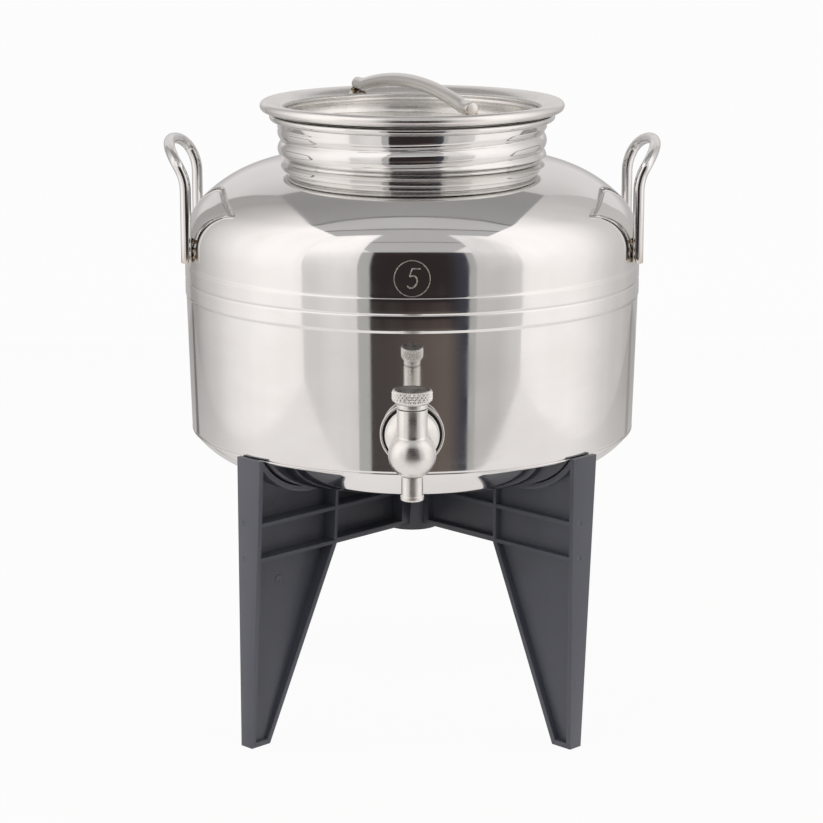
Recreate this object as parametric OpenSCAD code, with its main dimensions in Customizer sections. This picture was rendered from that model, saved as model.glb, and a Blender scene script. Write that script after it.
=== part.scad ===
// Stainless steel oil dispenser: a round drum with a screw lid, two carrying handles
// and a rising-stem tap, standing loose on a four-legged plastic stand.
// Millimetres, +Z up, the tap points along -Y. The origin is the bottom centre of the whole box.

/* [Drum] */
// Outside diameter of the drum below its shoulder
drum_d = 218; // [206:1:232]
// Outside diameter of the drum at the crease above its base
crease_d = 214.4; // [202:0.2:228]
// Thickness of the steel sheet
sheet_t = 0.8; // [0.6:0.1:1]
// Height of the side wall, from the crease to the shoulder
wall_h = 90.9; // [84:0.1:110]
// Height of the lower bead's foot above the crease
bead_z = 65.5; // [58:0.5:68]
// Height of one stiffening bead
bead_h = 7.8; // [6:0.1:9]
// How far a bead stands out of the wall
bead_out = 0.5; // [0.3:0.1:0.8]
// Radius of the shoulder's outer corner
corner_r = 28; // [24:1:32]
// Radius of the shoulder's dome
dome_r = 64; // [58:1:72]
// Angle at which the corner hands over to the dome
blend_angle = 45; // [40:1:50]
// Width of the rounded edge of the base
base_run = 31.4; // [26:0.2:36]
// Height of the rounded edge of the base
base_rise = 16; // [12:0.5:20]

/* [Neck] */
// Outside diameter of the neck where it is welded into the shoulder
neck_d = 120.8; // [112:0.2:128]
// How far the neck reaches down through the shoulder
neck_skirt = 2; // [1.5:0.1:4]
// Height of the lip above the shoulder
neck_h = 22.4; // [21:0.1:26]
// Height of the sloping foot of the neck
neck_step_h = 2.4; // [1.5:0.1:3]
// How far the beaded wall stands out from the foot of the neck
neck_step = 2.4; // [1.5:0.1:3]
// Height of the lowest bead's crest above the shoulder
neck_bead_up = 4.1; // [4:0.1:5]
// Distance between the crests of the rolled beads
neck_bead_h = 7.9; // [6:0.1:8]
// How far a rolled bead stands out of the neck
neck_bead_out = 1.6; // [1:0.1:2.4]
// Radius of the rolled lip
lip_r = 2.5; // [2:0.1:3]
// Flat width of the lip that the gasket sits on
lip_flat = 3; // [2.5:0.1:4]

/* [Lid] */
// Room between the lid gasket's edge and the roll of the lid
rim_gap = 0.9; // [0.5:0.1:3]
// Radius of the roll at the edge of the lid
lid_roll_r = 3; // [2:0.1:3.5]
// Room between the lid's dish and the neck wall
dish_gap = 0.8; // [0.6:0.1:1.2]
// Depth of the dish below the lip
dish_depth = 20.6; // [16:0.2:22]
// Radius between the floor and the wall of the dish
dish_corner_r = 6; // [4:0.5:8]
// Thickness of the lid gasket
lid_gasket_t = 2.9; // [2:0.1:4]
// Height of the lid's flat rim above its underside
lid_land_h = 1.5; // [1:0.1:2]
// How far the roll stands above the flat of the rim
lid_roll_over = 1.5; // [1:0.1:2]
// Diameter of the rod of the lid handle
bar_d = 6.4; // [5:0.1:8]
// How high the lid handle arches above its ends
bar_rise = 6.8; // [5:0.2:12]
// Length of the straight end of the lid handle
bar_end = 6; // [4:0.5:8]
// Radius of the bend next to each end of the lid handle
bar_bend_r = 20; // [12:1:30]
// Direction of the lid handle, turned from +Y
bar_turn = 24.6; // [-90:0.2:90]

/* [Side handles] */
// Diameter of the handle rod
rod_d = 5.2; // [4.6:0.1:6.4]
// Distance between the two legs of a handle
handle_w = 70; // [62:1:90]
// How far the legs reach down from the shoulder's foot
handle_drop = 6.4; // [5:0.1:8]
// Height at which the legs start to lean out, above the shoulder's foot
handle_straight = 27.8; // [22:0.1:34]
// Angle at which the handle leans out
handle_lean = 28; // [15:1:35]
// Radius of the bend where the legs lean out
lean_r = 22; // [16:1:26]
// Height of the arched rail above the leaning legs
handle_arch = 11.7; // [10:0.1:16]
// How much further the middle of the rail leans out
arch_lean = 10; // [4:1:14]

/* [Tap] */
// Height of the tap's centre above the crease
tap_up = 19.9; // [17:0.1:28]
// Distance of the tap's centre from the drum's axis
tap_reach = 150; // [145:0.5:165]
// Diameter of the ball-shaped tap body
ball_d = 21; // [19:0.2:24]
// Diameter of the barrel above the ball
bonnet_d = 13.4; // [12:0.2:15]
// Height of the barrel's top above the tap's centre
bonnet_h = 20.4; // [18:0.2:23]
// Outside diameter of the spout
spout_d = 9.4; // [8.6:0.1:10.5]
// Diameter of the bead round the spout's mouth
spout_lip_d = 10.4; // [10:0.1:12]
// Height of the bead round the spout's mouth
spout_lip_h = 1.8; // [1.5:0.1:4]
// Depth of the spout's mouth below the tap's centre
spout_drop = 20.2; // [18:0.2:30]
// Diameter of the bore of the spout
spout_bore = 6; // [5:0.1:6.4]
// Diameter of the threaded shank through the wall
shank_d = 16.6; // [15:0.1:18]
// Diameter of the neck between the rosette and the ball
shank_neck_d = 14; // [13:0.2:15]
// Diameter of the bore through the shank
shank_bore = 7; // [5:0.1:7.4]
// Diameter of the rosette on the shank
rosette_d = 24.6; // [23:0.1:26]
// Thickness of the edge of the rosette
rosette_t = 3; // [2:0.1:4]
// Diameter of the cupped flange against the drum
flange_d = 29; // [28:0.2:32]
// Depth of the cupped flange
flange_t = 2.6; // [2:0.1:4]
// Room between the rosette and the rim of the cupped flange
cup_gap = 0.9; // [0.3:0.1:1]
// Thickness of the flange's floor
flange_floor = 1; // [0.8:0.1:1.4]
// Thickness of the tap gaskets
tap_gasket_t = 2; // [1.5:0.1:3]
// Width across the flats of the lock nut
nut_af = 24; // [22:0.5:26]
// Thickness of the lock nut
nut_t = 6; // [5:0.5:9]
// Length of shank behind the lock nut
shank_tail = 3; // [2:0.5:8]

/* [Valve] */
// Diameter of the valve stem
stem_d = 5.2; // [4.6:0.1:5.6]
// Travel of the stem from shut to open
stem_travel = 3.5; // [2.5:0.1:4]
// Depth of the opened seal below the tap's centre
open_drop = 1.5; // [1:0.1:2]
// Diameter of the outlet through the valve seat
outlet_d = 4.8; // [4:0.1:5.2]
// Diameter of the chamber above the seat
chamber_d = 9; // [8.6:0.1:9.4]
// Thickness of the rubber valve seal
seal_t = 2.6; // [2:0.1:3]
// Thickness of the foot of the stem that carries the seal
stem_foot_t = 1.9; // [1.5:0.1:2.2]
// Thickness of the stem's O-ring
ring_t = 1.2; // [1:0.1:1.4]
// Height of the O-ring above the tap's centre
ring_up = 11.6; // [10:0.1:13]
// Outside diameter of the knob's knurled rim
knob_d = 18.2; // [16:0.2:22]
// Height of the knob's knurled rim
knob_rim_h = 6; // [5:0.2:8]
// Height of the knob's sleeve under the rim
knob_sleeve_h = 2; // [1.6:0.2:4]
// Depth of the dished top of the knob
knob_dish = 0.6; // [0.4:0.1:1]

/* [Stand] */
// Height of the drum's flat base above the floor
rest_h = 124.5; // [110:0.5:140]
// How far the legs stand out past the drum's crease
post_out = 2.8; // [2.4:0.1:5]
// How far the legs stand up past the crease
post_over = 0.5; // [0.4:0.1:3]
// Width of a foot along the radius
foot_len = 11.5; // [9:0.5:15]
// Distance of the leg's inner knee from the axis
knee_r = 59; // [54:0.5:66]
// Height of the arm that carries the drum
arm_h = 32.5; // [29:0.5:38]
// Thickness of the web of a leg
web_t = 2.4; // [2:0.1:3]
// Thickness of the flange round a leg
wall_t = 2.5; // [2:0.1:3]
// Thickness of the inner ribs of a leg
rib_t = 1.8; // [1.5:0.1:2.5]
// Height of the upper rib above the foot of the arm
rib_up = 17; // [14:0.5:20]
// Reach of the flange from the middle of the web on its straight side
flange_straight = 4.5; // [4:0.1:6]
// Reach of the flange on its tapered side at the top
flange_top = 11.1; // [10:0.1:12]
// Reach of the flange on its tapered side at the foot
flange_foot = 3; // [2.5:0.1:4]
// Diameter of the hub
hub_d = 26; // [25:0.5:30]
// How far the hub hangs below the arms
hub_drop = 3; // [1:0.1:4]
// Diameter of the keyed head that locks a leg into the hub
key_d = 5.2; // [4.8:0.1:5.6]
// Distance of the keyed heads from the hub's axis
key_r = 8.2; // [8:0.1:8.6]
// Height of the hub's floor under the keys
key_floor = 3; // [2:0.5:4]

/* [Clearances] */
// Gap between welded or pressed neighbours
weld_gap = 0.05; // [0.02:0.01:0.1]
// Radial running gap of the stem in its bores
stem_gap = 0.05; // [0.02:0.01:0.1]
// Gap between the shank and the holes that it passes through
hole_gap = 0.2; // [0.1:0.05:0.4]
// Gap between the drum's rounded base and the legs, and over the hub
cradle_gap = 0.4; // [0.3:0.1:0.8]
// Gap between the drum's flat base and the arms that carry it
rest_gap = 0.1; // [0.05:0.05:0.3]
// Gap between the keys and their slots in the hub
key_gap = 0.1; // [0.05:0.05:0.2]
// Gap between the valve seal and the wall of its chamber
chamber_gap = 0.4; // [0.3:0.1:0.6]
// Gap under the knob when the tap is shut
knob_gap = 0.4; // [0.3:0.1:0.8]
// Gap between the lid gasket and the lip below it
seal_gap = 0.1; // [0.05:0.05:0.2]

/* [Hidden] */
$fn = 96;

// Overlap of cutting shapes past the faces that they cut
past = 1;
// Reach of the half planes that trim arcs
far = 4 * dome_r;

drum_r = drum_d / 2;
crease_r = crease_d / 2;
flat_r = crease_r - base_run;
base_r = (base_run * base_run + base_rise * base_rise) / (2 * base_rise);
crease_z = rest_h + base_rise;
bead_lo = crease_z + bead_z;
bead_r = (bead_h * bead_h / 4 + bead_out * bead_out) / (2 * bead_out);
shoulder_z = crease_z + wall_h;
corner_x = drum_r - corner_r;
dome_x = corner_x + (corner_r - dome_r) * cos(blend_angle);
dome_z = shoulder_z + (corner_r - dome_r) * sin(blend_angle);

neck_r = neck_d / 2;
neck_z = dome_z + sqrt(dome_r * dome_r - (neck_r - dome_x) * (neck_r - dome_x));
thread_r = neck_r + neck_step;
neck_bead_r = (neck_bead_h * neck_bead_h / 4 + neck_bead_out * neck_bead_out) / (2 * neck_bead_out);
neck_beads = 2;
lip_top = neck_z + neck_h;
lip_z = lip_top - lip_r;

dish_r = thread_r - sheet_t - dish_gap;
dish_z = lip_top - dish_depth;
lid_under = lip_top + seal_gap + lid_gasket_t;
land_z = lid_under + lid_land_h;
gasket_in = dish_r + seal_gap;
gasket_out = thread_r + lip_flat;
roll_x = gasket_out + rim_gap + lid_roll_r;
roll_top = land_z + lid_roll_over;
bar_r = bar_d / 2;
bar_z = land_z + bar_r + weld_gap;
bar_reach = gasket_out;
bar_run = bar_reach - bar_end;
bar_angle = 2 * atan(bar_rise / bar_run);
bar_arch_r = bar_run / sin(bar_angle) - bar_bend_r;

rod_r = rod_d / 2;
handle_r = drum_r + rod_r + weld_gap;
handle_x = sqrt(handle_r * handle_r - handle_w * handle_w / 4);
lean_x = handle_x + lean_r * (1 - cos(handle_lean));
lean_z = shoulder_z + handle_straight + lean_r * sin(handle_lean);
// Sides of the swept rod, and its rings through each kind of bend
rod_sides = 20;
lean_steps = 4;
corner_steps = 12;

tap_z = crease_z + tap_up;
ball_r = ball_d / 2;
wall_tap_r = crease_r + (drum_r - crease_r) * tap_up / bead_z;
inner_tap_r = wall_tap_r - sheet_t;
flange_at = wall_tap_r + tap_gasket_t;
rosette_at = flange_at + flange_floor;
shank_end = inner_tap_r - tap_gasket_t - nut_t - shank_tail;
shank_r = shank_d / 2;
shank_neck_r = shank_neck_d / 2;
bell_at = rosette_at + rosette_t;
bell_h = rosette_d / 2 - shank_neck_r;
ball_back = tap_reach - sqrt(ball_r * ball_r - shank_neck_r * shank_neck_r);
spigot_wall = 1;
spigot_h = 2;
bonnet_r = bonnet_d / 2;
spout_r = spout_d / 2;
ball_top = sqrt(ball_r * ball_r - bonnet_r * bonnet_r);
ball_foot = -sqrt(ball_r * ball_r - spout_r * spout_r);

stem_r = stem_d / 2;
chamber_r = chamber_d / 2;
chamber_top = shank_bore / 2 + spigot_wall + 3 * weld_gap;
seat_drop = stem_travel + open_drop;
seal_z = weld_gap - seat_drop;
stem_foot_z = seal_z + seal_t;
knob_z = bonnet_h + knob_gap;
knob_top = knob_z + knob_sleeve_h + knob_rim_h;
stem_top = knob_top - spigot_h;
ring_groove = ring_t + 2 * weld_gap;

leg_r = crease_r + post_out;
post_top = crease_z + post_over;
arm_z = rest_h - arm_h;
foot_in = leg_r - foot_len;
slant_wall = wall_t * sqrt(1 + pow((foot_in - knee_r) / arm_z, 2));
hub_r = hub_d / 2;
hub_top = rest_h - cradle_gap;
hub_z = arm_z - hub_drop;
key_z = hub_z + key_floor;

// The drum's axis stands back from the middle of the box by half the tap's reach past the drum
axis_y = (tap_reach + ball_r - drum_r - bead_out) / 2;

steel = [0.82, 0.82, 0.81];
satin = [0.72, 0.71, 0.69];
charcoal = [0.24, 0.25, 0.27];
seal_grey = [0.86, 0.86, 0.84];
black_rubber = [0.08, 0.08, 0.08];

// Puts a shape that is drawn about the drum's axis in its place
module on_axis() {
    translate([0, axis_y, 0])
        children();
}

// Puts a shape that is drawn about the tap's vertical axis in its place
module on_tap() {
    translate([0, axis_y - tap_reach, tap_z])
        children();
}

// A round piece along the shank, between two distances from the drum's axis
module along_tap(near, beyond, r, r2 = undef, sides = $fn) {
    translate([0, axis_y - near, tap_z])
        rotate([90, 0, 0])
            cylinder(h = beyond - near, r1 = r, r2 = is_undef(r2) ? r : r2, $fn = sides);
}

// The tapered side wall as a solid, grown or shrunk on its radius
module wall_cone(grow) {
    on_axis()
        translate([0, 0, crease_z])
            cylinder(h = bead_z, r1 = crease_r + grow, r2 = drum_r + grow, $fn = 4 * $fn);
}

// Half outline of the drum above its crease, set in by the sheet for its inside
module drum_outline(inset) {
    polygon([[0, crease_z], [crease_r - inset, crease_z], [drum_r - inset, bead_lo],
        [drum_r - inset, shoulder_z], [0, shoulder_z]]);
    for (i = [0:1])
        translate([drum_r + bead_out - bead_r, bead_lo + bead_h * (i + 0.5)])
            circle(bead_r - inset);
    intersection() {
        translate([corner_x, shoulder_z])
            circle(corner_r - inset);
        polygon([[corner_x, shoulder_z], [corner_x + far, shoulder_z],
            [corner_x + far * cos(blend_angle), shoulder_z + far * sin(blend_angle)]]);
    }
    intersection() {
        translate([dome_x, dome_z])
            circle(dome_r - inset);
        polygon([[0, shoulder_z], [corner_x, shoulder_z],
            [corner_x + far * cos(blend_angle), shoulder_z + far * sin(blend_angle)],
            [0, shoulder_z + far]]);
    }
}

// Drawn upper part of the drum: tapered wall with two beads, and the domed shoulder
module drum_shell() {
    color(steel)
        difference() {
            on_axis()
                rotate_extrude()
                    difference() {
                        drum_outline(0);
                        drum_outline(sheet_t);
                        translate([0, shoulder_z])
                            square([neck_r + weld_gap, far]);
                    }
            along_tap(inner_tap_r - past, wall_tap_r + past, shank_r + hole_gap);
        }
}

// Half outline of the base below the crease, set in by the sheet for its inside
module base_outline(inset) {
    translate([0, rest_h + inset])
        square([flat_r, base_rise - inset]);
    intersection() {
        translate([flat_r, rest_h + base_r])
            circle(base_r - inset);
        translate([flat_r, rest_h])
            square([base_run, base_rise]);
    }
}

// Pressed base, welded to the wall at the crease
module base_pan() {
    color(steel)
        on_axis()
            rotate_extrude()
                difference() {
                    base_outline(0);
                    base_outline(sheet_t);
                }
}

// Neck with two rolled beads and a rolled lip, welded into the shoulder
module neck_ring() {
    in = neck_r - sheet_t;
    wide_in = thread_r - sheet_t;
    color(steel)
        on_axis()
            rotate_extrude() {
                polygon([[in, neck_z - neck_skirt], [neck_r, neck_z - neck_skirt],
                    [neck_r, neck_z], [thread_r, neck_z + neck_step_h], [thread_r, lip_top - sheet_t],
                    [thread_r + lip_flat, lip_top - sheet_t], [thread_r + lip_flat, lip_top],
                    [wide_in, lip_top], [wide_in, neck_z + neck_step_h], [in, neck_z]]);
                for (i = [0 : neck_beads - 1])
                    intersection() {
                        translate([thread_r + neck_bead_out - neck_bead_r,
                            neck_z + neck_bead_up + neck_bead_h * i])
                            circle(neck_bead_r);
                        translate([thread_r - sheet_t / 2, neck_z])
                            square([neck_bead_r, neck_h]);
                    }
                translate([thread_r + lip_flat, lip_z])
                    circle(lip_r);
            }
}

// Middle line of one half of a carrying handle, from its welded foot to the middle of its rail
function half_handle(side) = let (
    y = side * handle_w / 2,
    bend_z = shoulder_z + handle_straight
) concat(
    [[handle_x, y, shoulder_z - handle_drop]],
    [for (i = [0 : lean_steps]) let (a = handle_lean * i / lean_steps)
        [handle_x + lean_r * (1 - cos(a)), y, bend_z + lean_r * sin(a)]],
    [for (i = [1 : corner_steps]) let (a = 90 * i / (corner_steps + 0.5),
        up = handle_arch * sin(a), lean = handle_lean + arch_lean * sin(a))
        [lean_x + up * sin(lean), y * cos(a), lean_z + up * cos(lean)]]
);

function reversed(list) = [for (i = [len(list) - 1 : -1 : 0]) list[i]];

function unit(v) = v / norm(v);

// Direction of a path at one of its points, halfway between the stretches that meet there
function path_way(path, i) = unit(
    (i > 0 ? unit(path[i] - path[i - 1]) : [0, 0, 0])
    + (i < len(path) - 1 ? unit(path[i + 1] - path[i]) : [0, 0, 0]));

// Ring of points round a path that never runs along X
function rod_ring(path, i, r) = let (
    way = path_way(path, i),
    out = unit([1, 0, 0] - way[0] * way),
    across = cross(way, out)
) [for (k = [0 : rod_sides - 1]) let (a = 360 * k / rod_sides)
    path[i] + r * (cos(a) * out + sin(a) * across)];

// A bent rod swept along a path, closed by its two end faces
module swept_rod(path, r) {
    last = len(path) - 1;
    points = [for (i = [0 : last]) each rod_ring(path, i, r)];
    sides = [for (i = [0 : last - 1], k = [0 : rod_sides - 1])
        let (a = i * rod_sides + k, b = i * rod_sides + (k + 1) % rod_sides)
        each [[a, a + rod_sides, b], [b, a + rod_sides, b + rod_sides]]];
    ends = [[for (k = [0 : rod_sides - 1]) k], [for (k = [rod_sides - 1 : -1 : 0]) last * rod_sides + k]];
    polyhedron(points, concat(sides, ends));
}

// One carrying handle on the +X side: a bent rod welded to the wall by its two legs
module side_handle() {
    swept_rod(concat(half_handle(-1), reversed(half_handle(1))), rod_r);
}

// Carrying handle on the right of the tap
module handle_right() {
    color(steel)
        on_axis()
            side_handle();
}

// Carrying handle on the left of the tap
module handle_left() {
    color(steel)
        on_axis()
            mirror([1, 0, 0])
                side_handle();
}

// Half outline of the lid's dish, set in by the sheet for its inside
module dish_outline(inset) {
    round_r = dish_corner_r - inset;
    translate([0, dish_z + inset])
        square([dish_r - dish_corner_r, lid_under - dish_z]);
    translate([0, dish_z + dish_corner_r])
        square([dish_r - inset, land_z - dish_z - dish_corner_r + inset]);
    translate([dish_r - dish_corner_r, dish_z + dish_corner_r])
        circle(round_r);
}

// Screw lid: a pressed dish that hangs in the neck, with a wide rolled rim
module lid_pan() {
    color(steel)
        on_axis()
            rotate_extrude()
                difference() {
                    union() {
                        dish_outline(0);
                        polygon([[0, lid_under], [roll_x, lid_under], [roll_x, roll_top],
                            [bar_reach, land_z], [0, land_z]]);
                        translate([roll_x, roll_top - lid_roll_r])
                            circle(lid_roll_r);
                    }
                    dish_outline(sheet_t);
                }
}

// Middle line of one half of the lid handle, drawn along Y from its end to the top of its arch
function half_bar(side) = let (arch_z = bar_z + bar_rise - bar_arch_r) concat(
    [[0, side * bar_reach, bar_z]],
    [for (i = [0 : lean_steps]) let (a = bar_angle * i / lean_steps)
        [0, side * (bar_run - bar_bend_r * sin(a)), bar_z + bar_bend_r * (1 - cos(a))]],
    [for (i = [1 : corner_steps]) let (a = bar_angle * (1 - i / (corner_steps + 0.5)))
        [0, side * bar_arch_r * sin(a), arch_z + bar_arch_r * cos(a)]]
);

// Handle of the lid: an arched rod welded across its rim
module lid_handle() {
    color(satin)
        on_axis()
            rotate([0, 0, bar_turn])
                swept_rod(concat(half_bar(-1), reversed(half_bar(1))), bar_r);
}

// Flat ring between the lid's rim and the lip of the neck
module lid_gasket() {
    color(seal_grey)
        on_axis()
            translate([0, 0, lip_top + seal_gap])
                difference() {
                    cylinder(h = lid_gasket_t, r = gasket_out);
                    translate([0, 0, -past])
                        cylinder(h = lid_gasket_t + 2 * past, r = gasket_in);
                }
}

// Turned shank: tail through the wall, rosette with a bell-shaped front, neck and spigot into the ball
module tap_shank() {
    color(satin)
        difference() {
            union() {
                along_tap(shank_end, bell_at, shank_r);
                along_tap(rosette_at, bell_at, rosette_d / 2);
                along_tap(bell_at, bell_at + bell_h, rosette_d / 2, shank_neck_r);
                along_tap(rosette_at, ball_back - weld_gap, shank_neck_r);
                along_tap(rosette_at, ball_back + spigot_h, shank_bore / 2 + spigot_wall);
            }
            along_tap(shank_end - past, ball_back + spigot_h + past, shank_bore / 2);
        }
}

// Cupped flange that hides the outer gasket
module tap_flange() {
    color(satin)
        difference() {
            along_tap(flange_at, flange_at + flange_t, flange_d / 2);
            along_tap(rosette_at, rosette_at + flange_t, rosette_d / 2 + cup_gap);
            along_tap(flange_at - past, flange_at + flange_t, shank_r + hole_gap);
        }
}

// Gasket between the flange and the round outside of the drum
module tap_outer_gasket() {
    color(seal_grey)
        difference() {
            along_tap(inner_tap_r - past, flange_at, rosette_d / 2);
            along_tap(inner_tap_r - 2 * past, flange_at + past, shank_r + hole_gap);
            wall_cone(weld_gap);
        }
}

// Gasket between the round inside of the drum and the lock nut
module tap_inner_gasket() {
    color(seal_grey)
        intersection() {
            difference() {
                along_tap(inner_tap_r - tap_gasket_t, wall_tap_r, nut_af / 2);
                along_tap(inner_tap_r - tap_gasket_t - past, wall_tap_r + past, shank_r + hole_gap);
            }
            wall_cone(-sheet_t - weld_gap);
        }
}

// Hexagon nut that clamps the tap from inside the drum
module tap_lock_nut() {
    nut_at = inner_tap_r - tap_gasket_t - nut_t;
    color(satin)
        difference() {
            along_tap(nut_at, nut_at + nut_t, nut_af / 2 / cos(30), sides = 6);
            along_tap(nut_at - past, nut_at + nut_t + past, shank_r + weld_gap);
        }
}

// Ball of the tap with its inlet, valve chamber, seat and outlet
module tap_body() {
    color(satin)
        difference() {
            intersection() {
                on_tap()
                    sphere(ball_r);
                on_tap()
                    translate([-ball_r, -ball_r, ball_foot])
                        cube([ball_d, ball_r + tap_reach - ball_back, ball_top - ball_foot]);
            }
            on_tap() {
                translate([0, 0, -seat_drop])
                    cylinder(h = chamber_top + seat_drop, r = chamber_r);
                translate([0, 0, chamber_top])
                    cylinder(h = ball_r, r = bonnet_r - spigot_wall + weld_gap);
                translate([0, 0, -ball_r])
                    cylinder(h = ball_r, r = outlet_d / 2);
                translate([0, 0, ball_foot - past])
                    cylinder(h = spigot_h + past, r = spout_bore / 2 + spigot_wall + weld_gap);
            }
            along_tap(ball_back - past, tap_reach, shank_bore / 2);
            along_tap(ball_back - past, ball_back + spigot_h + weld_gap,
                shank_bore / 2 + spigot_wall + weld_gap);
        }
}

// Barrel above the ball that guides the stem
module tap_bonnet() {
    color(satin)
        on_tap()
            difference() {
                union() {
                    translate([0, 0, ball_top])
                        cylinder(h = bonnet_h - ball_top, r = bonnet_r);
                    translate([0, 0, chamber_top + weld_gap])
                        cylinder(h = ball_top - chamber_top, r = bonnet_r - spigot_wall);
                }
                cylinder(h = bonnet_h + past, r = stem_r + stem_gap);
            }
}

// Spout pressed into the foot of the ball, with a bead round its mouth
module tap_spout() {
    color(satin)
        on_tap()
            difference() {
                union() {
                    translate([0, 0, -spout_drop])
                        cylinder(h = spout_drop + ball_foot - weld_gap, r = spout_r);
                    translate([0, 0, -spout_drop])
                        cylinder(h = spout_lip_h, r = spout_lip_d / 2);
                    translate([0, 0, -spout_drop])
                        cylinder(h = spout_drop + ball_foot + spigot_h - weld_gap,
                            r = spout_bore / 2 + spigot_wall);
                }
                translate([0, 0, -spout_drop - past])
                    cylinder(h = spout_drop + past, r = spout_bore / 2);
            }
}

// Stem with a foot for the seal and a groove for the O-ring
module valve_stem() {
    color(satin)
        on_tap()
            difference() {
                union() {
                    translate([0, 0, stem_foot_z])
                        cylinder(h = stem_foot_t, r = chamber_r - 2 * chamber_gap);
                    translate([0, 0, stem_foot_z])
                        cylinder(h = stem_top - stem_foot_z, r = stem_r);
                }
                translate([0, 0, ring_up - ring_groove / 2])
                    difference() {
                        cylinder(h = ring_groove, r = stem_r + past);
                        translate([0, 0, -past])
                            cylinder(h = ring_groove + 2 * past, r = stem_r - ring_t - weld_gap);
                    }
            }
}

// Rubber disc that shuts the outlet
module valve_seal() {
    color(black_rubber)
        on_tap()
            translate([0, 0, seal_z])
                cylinder(h = seal_t, r = chamber_r - chamber_gap);
}

// O-ring in the groove of the stem
module stem_o_ring() {
    color(black_rubber)
        on_tap()
            translate([0, 0, ring_up])
                rotate_extrude()
                    translate([stem_r - ring_t / 2, 0])
                        circle(ring_t / 2);
}

// Knob on top of the stem: sleeve, wide rim and dished top
module tap_knob() {
    color(satin)
        on_tap()
            difference() {
                union() {
                    translate([0, 0, knob_z])
                        cylinder(h = knob_sleeve_h, r = bonnet_r);
                    translate([0, 0, knob_z + knob_sleeve_h])
                        cylinder(h = knob_rim_h, r = knob_d / 2);
                }
                translate([0, 0, knob_z - past])
                    cylinder(h = stem_top + weld_gap - knob_z + past, r = stem_r + stem_gap);
                translate([0, 0, knob_top - knob_dish])
                    cylinder(h = knob_dish + past, r = bonnet_r);
            }
}

// Side outline of the drum's base and crease, grown by a gap, in the plane of a leg
module seat_outline(gap) {
    translate([-past, rest_h - rest_gap - gap])
        square([flat_r + past, far]);
    intersection() {
        translate([flat_r, rest_h + base_r])
            circle(base_r + cradle_gap + gap);
        translate([flat_r, 0])
            square([far, crease_z]);
    }
    translate([flat_r, crease_z])
        square([base_run + cradle_gap + gap, far]);
}

// Side outline of a leg: foot, post, cradle and arm
module leg_outline() {
    difference() {
        polygon([[foot_in, 0], [leg_r, 0], [leg_r, post_top], [0, post_top], [0, arm_z], [knee_r, arm_z]]);
        seat_outline(0);
    }
}

// Pockets of a leg between its flange and its ribs
module leg_pockets() {
    foot_run = (foot_in - knee_r) / arm_z;
    outer = leg_r - wall_t;
    difference() {
        polygon([[foot_in - foot_run * wall_t + slant_wall, wall_t], [outer, wall_t], [outer, post_top],
            [hub_r + wall_t, post_top], [hub_r + wall_t, arm_z + wall_t],
            [knee_r - foot_run * wall_t + slant_wall, arm_z + wall_t]]);
        seat_outline(wall_t);
        for (z = [arm_z, arm_z + rib_up])
            translate([0, z])
                square([leg_r, rib_t]);
        translate([knee_r, arm_z])
            square([rib_t, arm_h]);
    }
}

// A side outline given a width across the leg
module across_leg(low, high) {
    translate([0, high, 0])
        rotate([90, 0, 0])
            linear_extrude(height = high - low)
                children();
}

// Moulded leg along +X, with a keyed tongue at its hub end
module leg() {
    tongue_h = hub_top - key_z;
    difference() {
        intersection() {
            across_leg(-flange_straight, flange_top)
                leg_outline();
            rotate([90, 0, 90])
                linear_extrude(height = leg_r + past)
                    polygon([[-flange_straight, 0], [flange_foot, 0], [flange_top, post_top],
                        [-flange_straight, post_top]]);
        }
        across_leg(web_t / 2, flange_top + past)
            leg_pockets();
        across_leg(-flange_straight - past, -web_t / 2)
            leg_pockets();
        cylinder(h = post_top + past, r = hub_r + key_gap);
    }
    translate([key_r, -web_t / 2, key_z + key_gap])
        cube([hub_r + wall_t - key_r, web_t, tongue_h - key_gap]);
    translate([key_r, 0, key_z + key_gap])
        cylinder(h = tongue_h - key_gap, r = key_d / 2);
}

// A leg in its place round the hub
module leg_at(turn) {
    color(charcoal)
        on_axis()
            rotate([0, 0, turn])
                leg();
}

module leg_front_left() {
    leg_at(225);
}

module leg_front_right() {
    leg_at(315);
}

module leg_back_left() {
    leg_at(135);
}

module leg_back_right() {
    leg_at(45);
}

// Hub with four keyhole slots that the legs drop into
module stand_hub() {
    color(charcoal)
        on_axis()
            difference() {
                translate([0, 0, hub_z])
                    cylinder(h = hub_top - hub_z, r = hub_r);
                for (turn = [45 : 90 : 315])
                    rotate([0, 0, turn])
                        translate([0, 0, key_z]) {
                            translate([key_r, 0, 0])
                                cylinder(h = arm_h + past, r = key_d / 2 + key_gap);
                            translate([key_r, -web_t / 2 - key_gap, 0])
                                cube([hub_r, web_t + 2 * key_gap, arm_h + past]);
                        }
            }
}

drum_shell();
neck_ring();
base_pan();
handle_left();
handle_right();
lid_pan();
lid_handle();
lid_gasket();
tap_shank();
tap_flange();
tap_outer_gasket();
tap_inner_gasket();
tap_lock_nut();
tap_body();
tap_bonnet();
tap_spout();
valve_stem();
valve_seal();
stem_o_ring();
tap_knob();
stand_hub();
leg_front_left();
leg_front_right();
leg_back_left();
leg_back_right();
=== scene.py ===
import math
from itertools import product

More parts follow.
